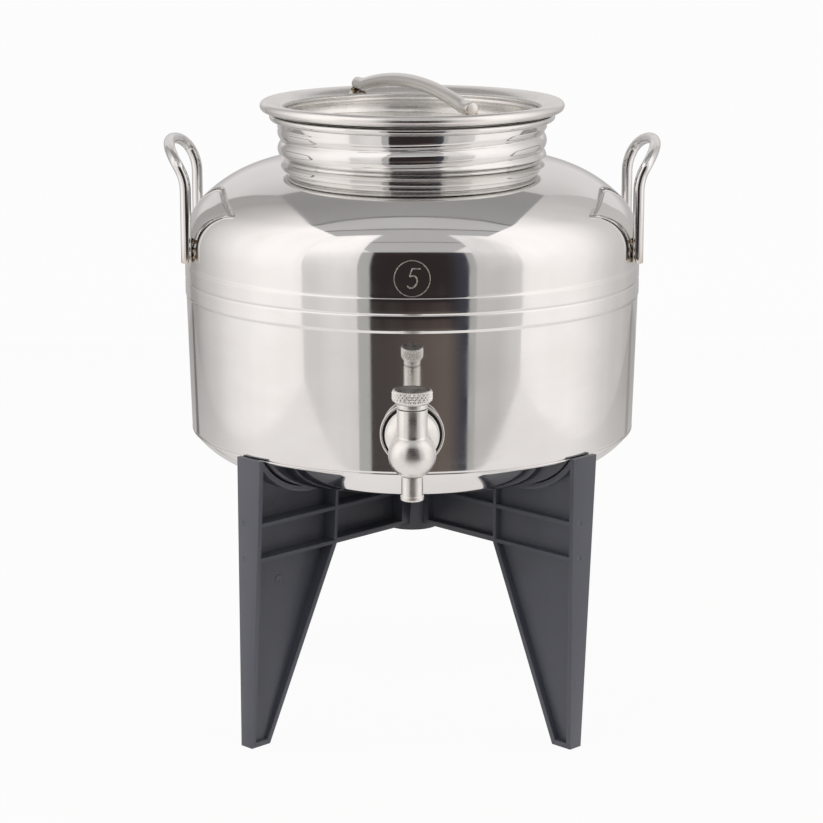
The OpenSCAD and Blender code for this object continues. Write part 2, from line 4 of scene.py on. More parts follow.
import bmesh
import bpy
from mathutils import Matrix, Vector


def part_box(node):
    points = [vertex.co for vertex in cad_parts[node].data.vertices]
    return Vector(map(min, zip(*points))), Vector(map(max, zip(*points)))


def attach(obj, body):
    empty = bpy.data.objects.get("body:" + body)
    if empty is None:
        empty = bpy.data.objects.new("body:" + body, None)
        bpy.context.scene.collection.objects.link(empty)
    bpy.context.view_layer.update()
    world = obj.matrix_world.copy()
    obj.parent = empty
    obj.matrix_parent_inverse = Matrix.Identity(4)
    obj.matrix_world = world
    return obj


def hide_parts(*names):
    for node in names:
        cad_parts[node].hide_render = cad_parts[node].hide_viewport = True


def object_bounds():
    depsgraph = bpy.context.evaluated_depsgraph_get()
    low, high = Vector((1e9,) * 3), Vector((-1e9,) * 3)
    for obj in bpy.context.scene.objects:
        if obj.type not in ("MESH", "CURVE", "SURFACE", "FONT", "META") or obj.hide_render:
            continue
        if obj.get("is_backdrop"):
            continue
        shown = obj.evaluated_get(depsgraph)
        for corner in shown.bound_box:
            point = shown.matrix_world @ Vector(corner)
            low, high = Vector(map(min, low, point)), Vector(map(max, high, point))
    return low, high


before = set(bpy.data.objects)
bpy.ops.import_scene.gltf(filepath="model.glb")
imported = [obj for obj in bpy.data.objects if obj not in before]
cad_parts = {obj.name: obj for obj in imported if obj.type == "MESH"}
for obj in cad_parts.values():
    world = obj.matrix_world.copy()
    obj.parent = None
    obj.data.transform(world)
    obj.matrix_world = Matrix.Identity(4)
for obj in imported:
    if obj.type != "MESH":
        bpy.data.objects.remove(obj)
cad_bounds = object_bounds()


# Base pan: a disc of stainless sheet pressed with a wide rounded edge and polished to a mirror.
# It is welded to the wall at the crease and rests on the four arms of the stand.
MM = 0.001
SHEET = 0.8 * MM
ON_AXIS = 1e-7
pan_low, pan_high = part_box("base_pan")
AXIS = Vector(((pan_low.x + pan_high.x) / 2, (pan_low.y + pan_high.y) / 2, 0))
REST_Z = pan_low.z
CREASE_Z = pan_high.z
CREASE_R = (pan_high.x - pan_low.x) / 2
PAN_EDGE_R = 38.8 * MM
PAN_FLAT_R = 75.8 * MM
PAN_TURN = math.degrees(math.acos((CREASE_R - PAN_FLAT_R) / PAN_EDGE_R))
POLISHED = (0.80, 0.795, 0.785)


class Value:
    """A socket of a shader tree. Operators on it add the Math nodes."""

    def __init__(self, socket):
        self.socket = socket

    def node(self, kind, settings, inputs, output=0):
        """Any other node: its type, its settings, set first, and the values or links of its sockets."""
        tree = self.socket.id_data
        made = tree.nodes.new("ShaderNode" + kind)
        for key, setting in settings.items():
            if key == "stops":
                while len(made.color_ramp.elements) < len(setting):
                    made.color_ramp.elements.new(0.5)
                for element, (place, colour) in zip(made.color_ramp.elements, setting):
                    element.position = place
                    element.color = (*colour, 1)
            else:
                setattr(made, key, setting)
        for key, value in inputs.items():
            if isinstance(value, Value):
                tree.links.new(value.socket, made.inputs[key])
            else:
                made.inputs[key].default_value = value
        return Value(made.outputs[output])

    def math(self, operation, *values):
        """A Math node: its operation and the values it works on."""
        return self.node("Math", {"operation": operation}, dict(enumerate(values)))

    def __add__(self, other):
        return self.math("ADD", self, other)

    def __sub__(self, other):
        return self.math("SUBTRACT", self, other)

    def __rsub__(self, other):
        return self.math("SUBTRACT", other, self)

    def __mul__(self, other):
        return self.math("MULTIPLY", self, other)

    def __truediv__(self, other):
        return self.math("DIVIDE", self, other)

    def __pow__(self, other):
        return self.math("POWER", self, other)

    def __abs__(self):
        return self.math("ABSOLUTE", self)

    __radd__ = __add__
    __rmul__ = __mul__


def finish(name, colour, rough, metallic):
    """A new material, its shader, and the place on the piece in metres."""
    made = bpy.data.materials.new(name)
    made.use_nodes = True
    shader = made.node_tree.nodes["Principled BSDF"]
    shader.inputs["Base Color"].default_value = (*colour, 1)
    shader.inputs["Roughness"].default_value = rough
    shader.inputs["Metallic"].default_value = metallic
    place = made.node_tree.nodes.new("ShaderNodeTexCoord").outputs["Object"]
    return made, shader, Value(place)


def feed(shader, socket, value):
    """Links a value to a socket of a shader."""
    shader.id_data.links.new(value.socket, shader.inputs[socket])


def parts_of(place):
    """The three numbers of a place."""
    first = place.node("SeparateXYZ", {}, {0: place})
    return [Value(output) for output in first.socket.node.outputs]


def around(place, centre):
    """Distance from the upright line through centre, and the height."""
    x, y, z = parts_of(place)
    return ((x - centre.x) ** 2 + (y - centre.y) ** 2) ** 0.5, z


def lines(along, period, detail=3.0):
    """Fine lines across a direction, from 0 to 1."""
    return along.node("TexNoise", {"noise_dimensions": "1D"},
                      {"W": along * (1 / period), "Scale": 1.0, "Detail": detail})


def blotches(place, size, detail=2.0, stretch=(1, 1, 1)):
    """Soft blotches of a size, from 0 to 1, drawn out where stretch is below one."""
    scaled = place.node("VectorMath", {"operation": "MULTIPLY"}, {0: place, 1: stretch})
    return scaled.node("TexNoise", {}, {"Vector": scaled, "Scale": 1 / size, "Detail": detail})


def ramp(value, low, high, out_low=0.0, out_high=1.0):
    """A value taken from one range to another, smooth and held at both ends."""
    return value.node("MapRange", {"interpolation_type": "SMOOTHSTEP"},
                      {"Value": value, "From Min": low, "From Max": high,
                       "To Min": out_low, "To Max": out_high})


def tinted(mask, plain, other):
    """One colour going over to another where the mask is 1."""
    def paint(colour):
        return colour if isinstance(colour, Value) else (*colour, 1)
    return mask.node("Mix", {"data_type": "RGBA"}, {0: mask, 6: paint(plain), 7: paint(other)}, 2)


def raised(height, distance):
    """The normal of a surface that stands up by a distance where height is 1."""
    return height.node("Bump", {}, {"Strength": 1.0, "Distance": distance, "Height": height})


def mirror_sheet(name, side):
    """Stainless sheet polished on a lathe: faint rings, wipe marks and a slow waviness. side is 1
    where the sheet widens as it rises, and -1 where it narrows."""
    made, shader, place = finish(name, POLISHED, 0.05, 1.0)
    out, height = around(place, AXIS)
    along = height + out * side
    rings = lines(along, 0.35 * MM)
    wide = lines(along, 2.5 * MM, 2.0)
    wiped = blotches(place, 42 * MM, 4.0, (1, 1, 2.2))
    feed(shader, "Roughness", ramp(wiped + rings * 0.35 + wide * 0.25, 0.5, 1.05, 0.035, 0.10))
    feed(shader, "Base Color", tinted(ramp(wiped, 0.35, 0.75), POLISHED, (0.76, 0.75, 0.735)))
    waves = blotches(place, 60 * MM, 1.0, (1, 1, 1.6)) * 14 + rings * 0.25 + wide * 0.5
    feed(shader, "Normal", raised(waves, 0.001 * MM))
    return made


def rows(low, high, count):
    """Evenly spaced places from low to high."""
    return [low + (high - low) * i / count for i in range(count + 1)]


def arc(across, up, radius, start, end, steps):
    """Points of an arc in the (radius, height) plane, angles in degrees."""
    turns = [math.radians(a) for a in rows(start, end, steps)]
    return [(across + radius * math.cos(a), up + radius * math.sin(a)) for a in turns]


def smooth_mesh(name, work):
    """The finished mesh of a piece, shaded smooth."""
    for face in work.faces:
        face.smooth = True
    mesh = bpy.data.meshes.new(name)
    work.to_mesh(mesh)
    work.free()
    return mesh


def drawn(name, rings, closed):
    """A smooth mesh through rings of points. A ring of one point is a pole."""
    work = bmesh.new()
    loops = [[work.verts.new(point) for point in ring] for ring in rings]
    pairs = list(zip(loops, loops[1:])) + ([(loops[-1], loops[0])] if closed else [])
    for low, high in pairs:
        for k in range(max(len(low), len(high))):
            corners = [low[k % len(low)], low[(k + 1) % len(low)],
                       high[(k + 1) % len(high)], high[k % len(high)]]
            unlike = list(dict.fromkeys(corners))
            if len(unlike) > 2:
                work.faces.new(unlike)
    bmesh.ops.recalc_face_normals(work, faces=work.faces)
    return smooth_mesh(name, work)


def turned(name, outline, centre, steps=192, way=Vector((0, 0, 1)), shape=None):
    """A closed outline of (radius, height) turned about a line through centre. shape may move a
    point out or in by its radius, height and angle."""
    lay = Vector((0, 0, 1)).rotation_difference(way)
    rings = []
    for out, up in outline:
        ring = []
        for k in range(steps if out > ON_AXIS else 1):
            a = math.tau * k / steps
            r = out + (shape(out, up, a) if shape else 0)
            ring.append(centre + lay @ Vector((r * math.cos(a), r * math.sin(a), up)))
        rings.append(ring)
    ends_on_axis = len(rings[0]) == 1 and len(rings[-1]) == 1
    return drawn(name, rings, not ends_on_axis)


def fitted(mesh, material, body, slot, *nodes):
    """A piece on a CAD body, in a material given to it, in place of CAD nodes. slot is not used."""
    made = bpy.data.objects.new(mesh.name, mesh)
    bpy.context.scene.collection.objects.link(made)
    mesh.materials.clear()
    mesh.materials.append(material)
    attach(made, body)
    if nodes:
        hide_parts(*nodes)
    return made


pan_arc_z = REST_Z + PAN_EDGE_R
pan_outline = (
    [(0, REST_Z)]
    + arc(PAN_FLAT_R, pan_arc_z, PAN_EDGE_R, -90, -PAN_TURN, 32)
    + arc(PAN_FLAT_R, pan_arc_z, PAN_EDGE_R - SHEET, -PAN_TURN, -90, 32)
    + [(0, REST_Z + SHEET)]
)
fitted(turned("base_pan_sheet", pan_outline, AXIS),
       mirror_sheet("polished_base", 1), "vessel", "polished_steel", "base_pan")


# Drum shell: deep-drawn stainless sheet with a tapered wall, two rolled stiffening beads and a
# domed shoulder, ground and buffed to a mirror. Its lower edge is welded to the base pan.
DRUM_R = 109.0 * MM
EDGE = 0.3 * MM
WALL_TOP_Z = CREASE_Z + 65.5 * MM
WALL_SHARES = (0.02, 0.06, 0.15, 0.3, 0.45, 0.6, 0.75, 0.88, 0.95, 0.98, 0.992, 1)
BEAD_HALF = 3.9 * MM
BEAD_OUT = 0.42 * MM
BEAD_FLAT = 9
BEAD_ROWS = 14
BEAD_Z = (WALL_TOP_Z + BEAD_HALF, WALL_TOP_Z + 3 * BEAD_HALF)
SHOULDER_Z = CREASE_Z + 90.9 * MM
WALL_END_Z = SHOULDER_Z - 8.4 * MM
CORNER_R = 28.0 * MM
CORNER_IN = 81.0 * MM
CORNER_TURN = 45
DOME_R = 64.0 * MM
DOME_IN = 55.54 * MM
DOME_Z = SHOULDER_Z - 25.46 * MM
DOME_END = 85.6


def shell_face(inside):
    """The drum's side outline from the crease up to the neck, on one face of the sheet. Rows stand
    close beside the crease and the beads, so that the wall between them mirrors straight."""
    made = [(CREASE_R - inside, CREASE_Z + EDGE)]
    for share in WALL_SHARES:
        made.append((CREASE_R + (DRUM_R - CREASE_R) * share - inside,
                     CREASE_Z + (WALL_TOP_Z - CREASE_Z) * share))
    for middle in BEAD_Z:
        for i in range(1 - BEAD_ROWS, BEAD_ROWS):
            t = math.sin(math.pi / 2 * i / BEAD_ROWS)
            made.append((DRUM_R + BEAD_OUT * (1 - abs(t) ** BEAD_FLAT) - inside, middle + BEAD_HALF * t))
    made += [(DRUM_R - inside, WALL_END_Z)]
    made += arc(CORNER_IN, SHOULDER_Z, CORNER_R - inside, 0, CORNER_TURN - 1, 16)
    made += arc(DOME_IN, DOME_Z, DOME_R - inside, CORNER_TURN + 1, DOME_END, 20)
    return made


fitted(turned("drum_shell_sheet", shell_face(0) + shell_face(SHEET)[::-1], AXIS, 256),
       mirror_sheet("polished_drum", -1), "vessel", "polished_steel", "drum_shell")


# Crease: the seam where wall and base pan are welded edge to edge, ground flush and polished.
# It stays as a thin rounded line all round the drum.
SEAM_R = 0.5 * MM
SEAM_PROUD = 0.1 * MM
seam_outline = arc(CREASE_R - SEAM_R + SEAM_PROUD, CREASE_Z, SEAM_R, -180, 165, 23)
fitted(turned("crease_seam", seam_outline, AXIS, 256),
       mirror_sheet("polished_seam", 1), "vessel", "polished_steel")


# Capacity mark: a plain 5 in a ring, etched into the polished sheet at the foot of the shoulder.
# The etched line is thin, slightly brown and duller than the mirror round it.
MARK_Z = SHOULDER_Z - 1.0 * MM
MARK_R = 8.0 * MM
MARK_LINE = 0.34 * MM
MARK_SUNK = MARK_LINE * 0.8
NUMBER_LINE = MARK_LINE * 1.2
NUMBER_SLANT = 0.16
BOWL_AT = (0.1, -1.35)
BOWL_SIZE = (2.3, 2.75)
RING_STEPS = 96


def on_wall(across, up):
    """A point just under the outside of the sheet at the front, near the mark."""
    angle = across / DRUM_R - math.pi / 2
    height = MARK_Z + up
    lean = math.asin(max(0, (height - SHOULDER_Z) / CORNER_R))
    out = CORNER_IN + CORNER_R * math.cos(lean) - MARK_SUNK
    return AXIS + Vector((out * math.cos(angle), out * math.sin(angle), height))


def etched_steel(name):
    """Steel dulled by etching: brownish, with a fine uneven grain."""
    made, shader, place = finish(name, (0.40, 0.36, 0.32), 0.35, 1.0)
    grain = blotches(place, 0.8 * MM, 3.0)
    feed(shader, "Base Color", tinted(ramp(grain, 0.35, 0.65), (0.34, 0.30, 0.26), (0.62, 0.58, 0.53)))
    feed(shader, "Roughness", ramp(grain, 0.3, 0.7, 0.28, 0.45))
    return made


def swept(name, path, radius, sides=24, closed=False):
    """A round rod along a path of points. An open rod has softened ends."""
    soft = min(radius * 0.25, 0.5 * MM)
    turns = rows(0, math.tau, sides)[:-1]
    last = len(path) - 1
    rings, side = [], None

    def ring(at, r):
        return [at + r * (math.cos(a) * side + math.sin(a) * across) for a in turns]

    for i, here in enumerate(path):
        before = path[i - 1] if i or closed else here
        after = path[(i + 1) % len(path)] if i < last or closed else here
        way = (after - before).normalized()
        side = (way.orthogonal() if side is None else side - side.dot(way) * way).normalized()
        across = way.cross(side)
        if closed or 0 < i < last:
            rings.append(ring(here, radius))
            continue
        inward = -way if i else way
        end = [[here]] + [ring(here + inward * back, radius - less)
                          for back, less in ((0, soft), (soft * 0.3, soft * 0.3), (soft, 0))]
        rings += end[::-1] if i else end
    return drawn(name, rings, closed)


ring_turns = rows(0, math.tau, RING_STEPS)[:-1]
ring_path = [on_wall(MARK_R * math.cos(a), MARK_R * math.sin(a)) for a in ring_turns]
bowl_turns = [math.radians(a) for a in range(125, -140, -12)]
five = ([(3.1, 4.5), (-0.7, 4.5), (-1.35, 1.2)]
        + [(BOWL_AT[0] + BOWL_SIZE[0] * math.cos(a), BOWL_AT[1] + BOWL_SIZE[1] * math.sin(a))
           for a in bowl_turns])
five_path = [on_wall((x + NUMBER_SLANT * z) * MM, z * MM) for x, z in five]
mark_steel = etched_steel("etched_mark")
fitted(swept("capacity_ring", ring_path, MARK_LINE, 12, True),
       mark_steel, "vessel", "polished_steel")
fitted(swept("capacity_number", five_path, NUMBER_LINE, 12),
       mark_steel, "vessel", "polished_steel")


# Neck ring: a rolled collar of the same sheet, welded into the shoulder. Its coarse thread is
# rolled through the sheet, so it shows on both faces, and its lip is curled into a ring.
NECK_R = 60.4 * MM
NECK_Z = DOME_Z + math.sqrt(DOME_R ** 2 - (NECK_R - DOME_IN) ** 2)
NECK_FOOT_Z = NECK_Z - 2.0 * MM
THREAD_R = 62.8 * MM
THREAD_Z = NECK_Z + 2.4 * MM
THREAD_OUT = 1.6 * MM
PITCH = 8.0 * MM
THREAD_FIRST = math.radians(220)
THREAD_FIRST_Z = NECK_Z - 1.56 * MM
THREAD_FADE = math.radians(55)
LIP_OUT = 66.6 * MM
LIP_Z = NECK_Z + 20.7 * MM
LIP_R = 1.7 * MM
COLLAR_H = 5.5 * MM
COLLAR_RISE = 2.5 * MM


def rolled_thread(height, angle, out):
    """How far a rolled thread stands out at a height and an angle round the neck."""
    past_start = (angle - THREAD_FIRST) % math.tau
    turn = (height - THREAD_FIRST_Z) / PITCH - past_start / math.tau
    nearest = round(turn)
    along = past_start + math.tau * nearest
    if along < 0:
        return 0.0
    return out * (1 - 4 * (turn - nearest) ** 2) * min(1.0, along / THREAD_FADE)


def neck_thread(out, up, angle):
    """The thread on the neck, which runs out into a plain collar under the lip."""
    if not NECK_Z < up < LIP_Z - LIP_R or out > LIP_OUT - LIP_R:
        return 0.0
    share = min(1.0, (up - NECK_Z) / (THREAD_Z - NECK_Z))
    collar = min(1.0, max(0.0, (up - LIP_Z + LIP_R + COLLAR_H) / COLLAR_RISE))
    collar *= collar * (3 - 2 * collar) * THREAD_OUT
    return max(share * rolled_thread(up, angle, THREAD_OUT), collar)


thread_rows = rows(THREAD_Z, LIP_Z - LIP_R, 44)
slope_rows = list(zip(rows(NECK_R, THREAD_R, 8), rows(NECK_Z, THREAD_Z, 8)))
neck_outline = (
    [(NECK_R, NECK_FOOT_Z)] + slope_rows + [(THREAD_R, z) for z in thread_rows[1:]]
    + arc(LIP_OUT, LIP_Z, LIP_R, 205, 500, 28)
    + [(THREAD_R - SHEET, z) for z in thread_rows[:0:-1]]
    + [(r - SHEET, z) for r, z in slope_rows[::-1]] + [(NECK_R - SHEET, NECK_FOOT_Z)]
)
fitted(turned("neck_sheet", neck_outline, AXIS, 288, shape=neck_thread),
       mirror_sheet("polished_neck", -1), "vessel", "polished_steel", "neck_ring")

WELD_R = 0.55 * MM
weld_z = DOME_Z + DOME_R * math.sin(math.radians(DOME_END))
weld_outline = arc(NECK_R + SEAM_PROUD, weld_z, WELD_R, 0, 330, 11)
fitted(turned("neck_weld", weld_outline, AXIS, 192),
       mirror_sheet("polished_neck_weld", -1), "vessel", "polished_steel")


# Carrying handles: 5.2 mm stainless rod bent into a low arch that leans out, and polished. Both
# legs of a loop are spot-welded to the wall, which leaves small scorched spots beside the rod.
ROD_R = 2.6 * MM
WELD_GAP = 0.05 * MM
WELD_UP = (2.5 * MM, 6.5 * MM, 10.5 * MM)
WELD_BESIDE = 2.3 * MM
WELD_SUNK = 0.2 * MM
WELD_SIZE = (0.9 * MM, 0.8 * MM, 1.2 * MM)
HANDLE_HALF = 35.0 * MM
HANDLE_X = math.sqrt((DRUM_R + ROD_R + WELD_GAP) ** 2 - HANDLE_HALF ** 2)
HANDLE_FOOT_Z = SHOULDER_Z - 6.4 * MM
HANDLE_BEND_Z = SHOULDER_Z + 27.8 * MM
HEATED_H = 18.0 * MM
BEND_R = 22.0 * MM
LEAN = math.radians(28)
ARCH_LEAN = math.radians(10)
ARCH_RISE = 11.7 * MM
ARCH_ROWS = 40
ARCH_CROWDING = 1.25
HANDLE_STEEL = POLISHED
SCORCHED = (0.16, 0.10, 0.06)


def half_loop(side, end):
    """One leg of a handle and half of its rail. side is the drum's, end is the loop's."""
    made = [(HANDLE_X, end * HANDLE_HALF, z) for z in rows(HANDLE_FOOT_Z, HANDLE_BEND_Z, 6)[:-1]]
    for a in rows(0, LEAN, 8):
        made.append((HANDLE_X + BEND_R * (1 - math.cos(a)), end * HANDLE_HALF,
                     HANDLE_BEND_Z + BEND_R * math.sin(a)))
    x, y, z = made[-1]
    for i in range(1, ARCH_ROWS + 1):
        a = math.pi / 2 * (i / ARCH_ROWS) ** ARCH_CROWDING
        up = ARCH_RISE * math.sin(a)
        lean = LEAN + ARCH_LEAN * math.sin(a)
        made.append((x + up * math.sin(lean), y * math.cos(a), z + up * math.cos(lean)))
    return [AXIS + Vector((side * px, py, pz)) for px, py, pz in made]


def drawn_rod(name, tint_low, tint_high):
    """Drawn and polished rod: lines along its length, darker towards the welds."""
    made, shader, place = finish(name, HANDLE_STEEL, 0.1, 1.0)
    streaks = blotches(place, 1.2 * MM, 3.0, (1, 0.06, 0.06))
    wiped = blotches(place, 18 * MM, 3.0)
    heat = ramp(parts_of(place)[2] + wiped * 8 * MM, tint_high, tint_low)
    feed(shader, "Base Color", tinted(heat * 0.55, tinted(ramp(streaks, 0.45, 0.7), HANDLE_STEEL,
                                                         (0.66, 0.65, 0.63)), (0.50, 0.42, 0.33)))
    feed(shader, "Roughness", ramp(streaks + wiped * 0.6, 0.55, 1.1, 0.06, 0.2))
    feed(shader, "Normal", raised(streaks, 0.004 * MM))
    return made


def weld_bead(name, spots, size):
    """Weld metal: low uneven beads sunk into the sheet, one at each spot."""
    work = bmesh.new()
    for spot in spots:
        for vert in bmesh.ops.create_icosphere(work, subdivisions=3, radius=1.0)["verts"]:
            lump = 1 + 0.12 * math.sin(vert.co.x * 4 + spot.z * 900) * math.cos(vert.co.y * 5)
            vert.co = spot + Vector([v * s * lump for v, s in zip(vert.co, size)])
    return smooth_mesh(name, work)


def scorched_weld(name):
    """Weld metal left as it cooled: rippled, brown and black with a steel glint."""
    made, shader, place = finish(name, SCORCHED, 0.4, 1.0)
    burnt = blotches(place, 1.6 * MM, 4.0)
    feed(shader, "Base Color", tinted(ramp(burnt, 0.4, 0.62), (0.045, 0.032, 0.024), (0.46, 0.36, 0.25)))
    feed(shader, "Roughness", ramp(burnt, 0.3, 0.7, 0.28, 0.55))
    feed(shader, "Normal", raised(burnt, 0.15 * MM))
    return made


handle_steel = drawn_rod("polished_rod", HANDLE_FOOT_Z, HANDLE_FOOT_Z + HEATED_H)
weld_steel = scorched_weld("scorched_weld")
for side, word in ((-1, "left"), (1, "right")):
    loop = half_loop(side, -1) + half_loop(side, 1)[-2::-1]
    fitted(swept(f"handle_{word}_rod", loop, ROD_R, 32),
           handle_steel, "vessel", "handle_steel", f"handle_{word}")
    spots = []
    for end, height, edge in product((-1, 1), WELD_UP, (-1, 1)):
        y = end * HANDLE_HALF + edge * WELD_BESIDE
        x = math.sqrt(DRUM_R ** 2 - y ** 2) - WELD_SUNK
        spots.append(AXIS + Vector((side * x, y, HANDLE_FOOT_Z + height)))
    fitted(weld_bead(f"handle_{word}_welds", spots, WELD_SIZE),
           weld_steel, "vessel", "handle_steel")


# Inside of the tap fitting: a hexagon nut of stainless bar clamps the tap through the wall, on a
# soft rubber washer that seals the inner face of the sheet. A like washer lies under the flange.
nut_low, nut_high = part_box("tap_lock_nut")
shank_low, shank_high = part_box("tap_shank")
TAP_Z = (shank_low.z + shank_high.z) / 2
OUT = Vector((0, -1, 0))
TAP_AXIS = Vector((AXIS.x, AXIS.y, TAP_Z))
NUT_NEAR = AXIS.y - nut_high.y
NUT_FAR = AXIS.y - nut_low.y
NUT_HALF = 12.0 * MM
NUT_CORNER = NUT_HALF * 1.09
NUT_BLANK = NUT_HALF * 1.16
SHANK_R = 8.3 * MM
NUT_BORE = SHANK_R + 0.3 * MM
TAP_STEEL = (0.80, 0.785, 0.76)
WASHER_BLACK = (0.03, 0.03, 0.032)
WASHER_DUSTY = (0.075, 0.075, 0.078)


def turned_steel(name, centre, period, rough):
    """Stainless bar turned on a lathe and lightly polished: fine tool rings, a few wipe marks."""
    made, shader, place = finish(name, TAP_STEEL, rough, 1.0)
    out, height = around(place, centre)
    rings = lines(height + out * 0.6, period)
    wiped = blotches(place, 7 * MM, 4.0)
    feed(shader, "Roughness", ramp(rings * 0.25 + wiped, 0.35, 0.9, rough * 0.75, rough * 1.4))
    feed(shader, "Base Color", tinted(ramp(wiped, 0.4, 0.7), TAP_STEEL, (0.75, 0.735, 0.71)))
    feed(shader, "Normal", raised(rings + wiped, 0.0008 * MM))
    return made


def tap_fitted(mesh, word, centre, period, rough, node, body="vessel"):
    """A piece of the tap in turned steel of its own, in place of its CAD node."""
    return fitted(mesh, turned_steel("turned_" + word, centre, period, rough), body, "tap_steel", node)


def soft_rubber(name, colour, grey):
    """Moulded rubber: even, faintly grained, dusty on its raised places."""
    made, shader, place = finish(name, colour, 0.55, 0.0)
    grain = blotches(place, 0.7 * MM, 3.0)
    dust = blotches(place, 9 * MM, 4.0)
    feed(shader, "Base Color", tinted(ramp(dust + grain * 0.3, 0.5, 0.9), colour, grey))
    feed(shader, "Roughness", ramp(dust, 0.3, 0.7, 0.42, 0.68))
    feed(shader, "Normal", raised(grain, 0.03 * MM))
    return made


def hex_nut(out, up, angle):
    """Cuts a round blank to a hexagon with turned-off corners."""
    if out < SHANK_R + 1 * MM:
        return 0.0
    flat = NUT_HALF / math.cos((angle % (math.pi / 3)) - math.pi / 6)
    near_end = min(up - NUT_NEAR, NUT_FAR - up)
    return min(out, flat, NUT_CORNER + near_end) - out


def coated(node, material):
    """Gives a CAD node that is shown as it is a finish of its own."""
    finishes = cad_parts[node].data.materials
    finishes.clear()
    finishes.append(material)


nut_outline = ([(NUT_BORE, NUT_NEAR)] + [(NUT_BLANK, z) for z in rows(NUT_NEAR, NUT_FAR, 24)]
               + [(NUT_BORE, NUT_FAR)])
tap_fitted(turned("lock_nut_hexagon", nut_outline, TAP_AXIS, 240, OUT, hex_nut),
           "nut", TAP_AXIS, 0.3 * MM, 0.22, "tap_lock_nut")
for node, word in (("tap_inner_gasket", "washer_rubber"), ("tap_outer_gasket", "flange_rubber")):
    coated(node, soft_rubber(word, WASHER_BLACK, WASHER_DUSTY))


# Tap shank: one piece of turned stainless bar. Its threaded tail goes through the wall, its foot
# stops in the flange's cup, and a thin rosette over the cup runs in a bell to the tap's ball.
SHANK_BORE = 3.5 * MM
SHANK_TIP_R = SHANK_BORE + 1.0 * MM
FLANGE_BACK = 109.75 * MM
ROSETTE_R = 12.3 * MM
ROSETTE_AT = FLANGE_BACK + 1.0 * MM
ROSETTE_EDGE = ROSETTE_AT + 3.4 * MM
ROSETTE_FOOT_R = 9.0 * MM
ROSETTE_RIM_R = 0.5 * MM
SHANK_NECK_R = 7.0 * MM
TAIL_END = AXIS.y - shank_high.y
SHANK_END = AXIS.y - shank_low.y
BALL_BACK = SHANK_END - 2 * MM
TAIL_PITCH = 1.34 * MM
TAIL_DEPTH = 0.75 * MM
TAIL_THREAD_END = 105.0 * MM
ON_FACE = 0.05 * MM


def v_groove(up, angle, pitch, depth):
    """How far a cut thread lies below the bar at a height and an angle."""
    turn = up / pitch - angle / math.tau
    return -depth * abs(2 * (turn - round(turn)))


def tail_thread(out, up, angle):
    """The thread on the shank's tail: a helix of V grooves."""
    if abs(out - SHANK_R) > ON_FACE or not TAIL_END + 0.6 * MM <= up <= TAIL_THREAD_END:
        return 0.0
    return v_groove(up, angle, TAIL_PITCH, TAIL_DEPTH)


def curve(start, knee, end, steps):
    """Points of a bend from start to end, drawn towards the knee."""
    return [tuple(start.lerp(knee, t).lerp(knee.lerp(end, t), t)) for t in rows(0, 1, steps)]


bell_foot = Vector((ROSETTE_R - ROSETTE_RIM_R, ROSETTE_EDGE + 0.4 * MM))
bell_end = Vector((SHANK_NECK_R, ROSETTE_EDGE + 7.0 * MM))
bell_knee = bell_foot.lerp(Vector((SHANK_NECK_R, ROSETTE_EDGE + 3.6 * MM)), 0.95)
tail_rows = rows(TAIL_END + 0.5 * MM, TAIL_THREAD_END, 90)
shank_outline = (
    [(SHANK_BORE, TAIL_END), (SHANK_R - 0.9 * MM, TAIL_END)]
    + [(SHANK_R, z) for z in tail_rows] + [(SHANK_R, ROSETTE_AT)]
    + [(ROSETTE_FOOT_R, ROSETTE_AT), (ROSETTE_FOOT_R, ROSETTE_EDGE - 2.0 * MM)]
    + arc(ROSETTE_R - ROSETTE_RIM_R, ROSETTE_EDGE - 0.1 * MM, ROSETTE_RIM_R, -65, 60, 10)
    + curve(bell_foot, bell_knee, bell_end, 12)
    + [(SHANK_NECK_R, BALL_BACK), (SHANK_TIP_R, BALL_BACK), (SHANK_TIP_R, SHANK_END), (SHANK_BORE, SHANK_END)]
)
tap_fitted(turned("tap_shank_turned", shank_outline, TAP_AXIS, 128, OUT, tail_thread),
           "shank", TAP_AXIS, 0.25 * MM, 0.28, "tap_shank")


# Tap flange: a shallow cup turned from bar that spreads the tap's load on the wall. The rosette
# stands over it, with a black rubber ring in the narrow gap all round.
FLANGE_R = 14.5 * MM
FLANGE_FRONT = FLANGE_BACK + 2.6 * MM
FLANGE_BORE = SHANK_R + 0.2 * MM
CUP_R = 13.2 * MM
CUP_FLOOR = ROSETTE_AT - 0.2 * MM
SEAL_FRONT = FLANGE_FRONT - 0.5 * MM
SHARP_TURN = 0.2
SOFT_R = 0.6 * MM


def rounded(outline, radius):
    """A closed outline with its sharp corners rounded off."""
    made = []
    for i, here in enumerate(outline):
        point = Vector(here)
        back = Vector(outline[i - 1]) - point
        on = Vector(outline[(i + 1) % len(outline)]) - point
        turn = math.pi - back.angle(on)
        if turn < SHARP_TURN or here[0] < ON_AXIS:
            made.append(here)
            continue
        cut = min(radius * math.tan(turn / 2), 0.4 * back.length, 0.4 * on.length)
        made += curve(point + back.normalized() * cut, point, point + on.normalized() * cut, 4)
    return made


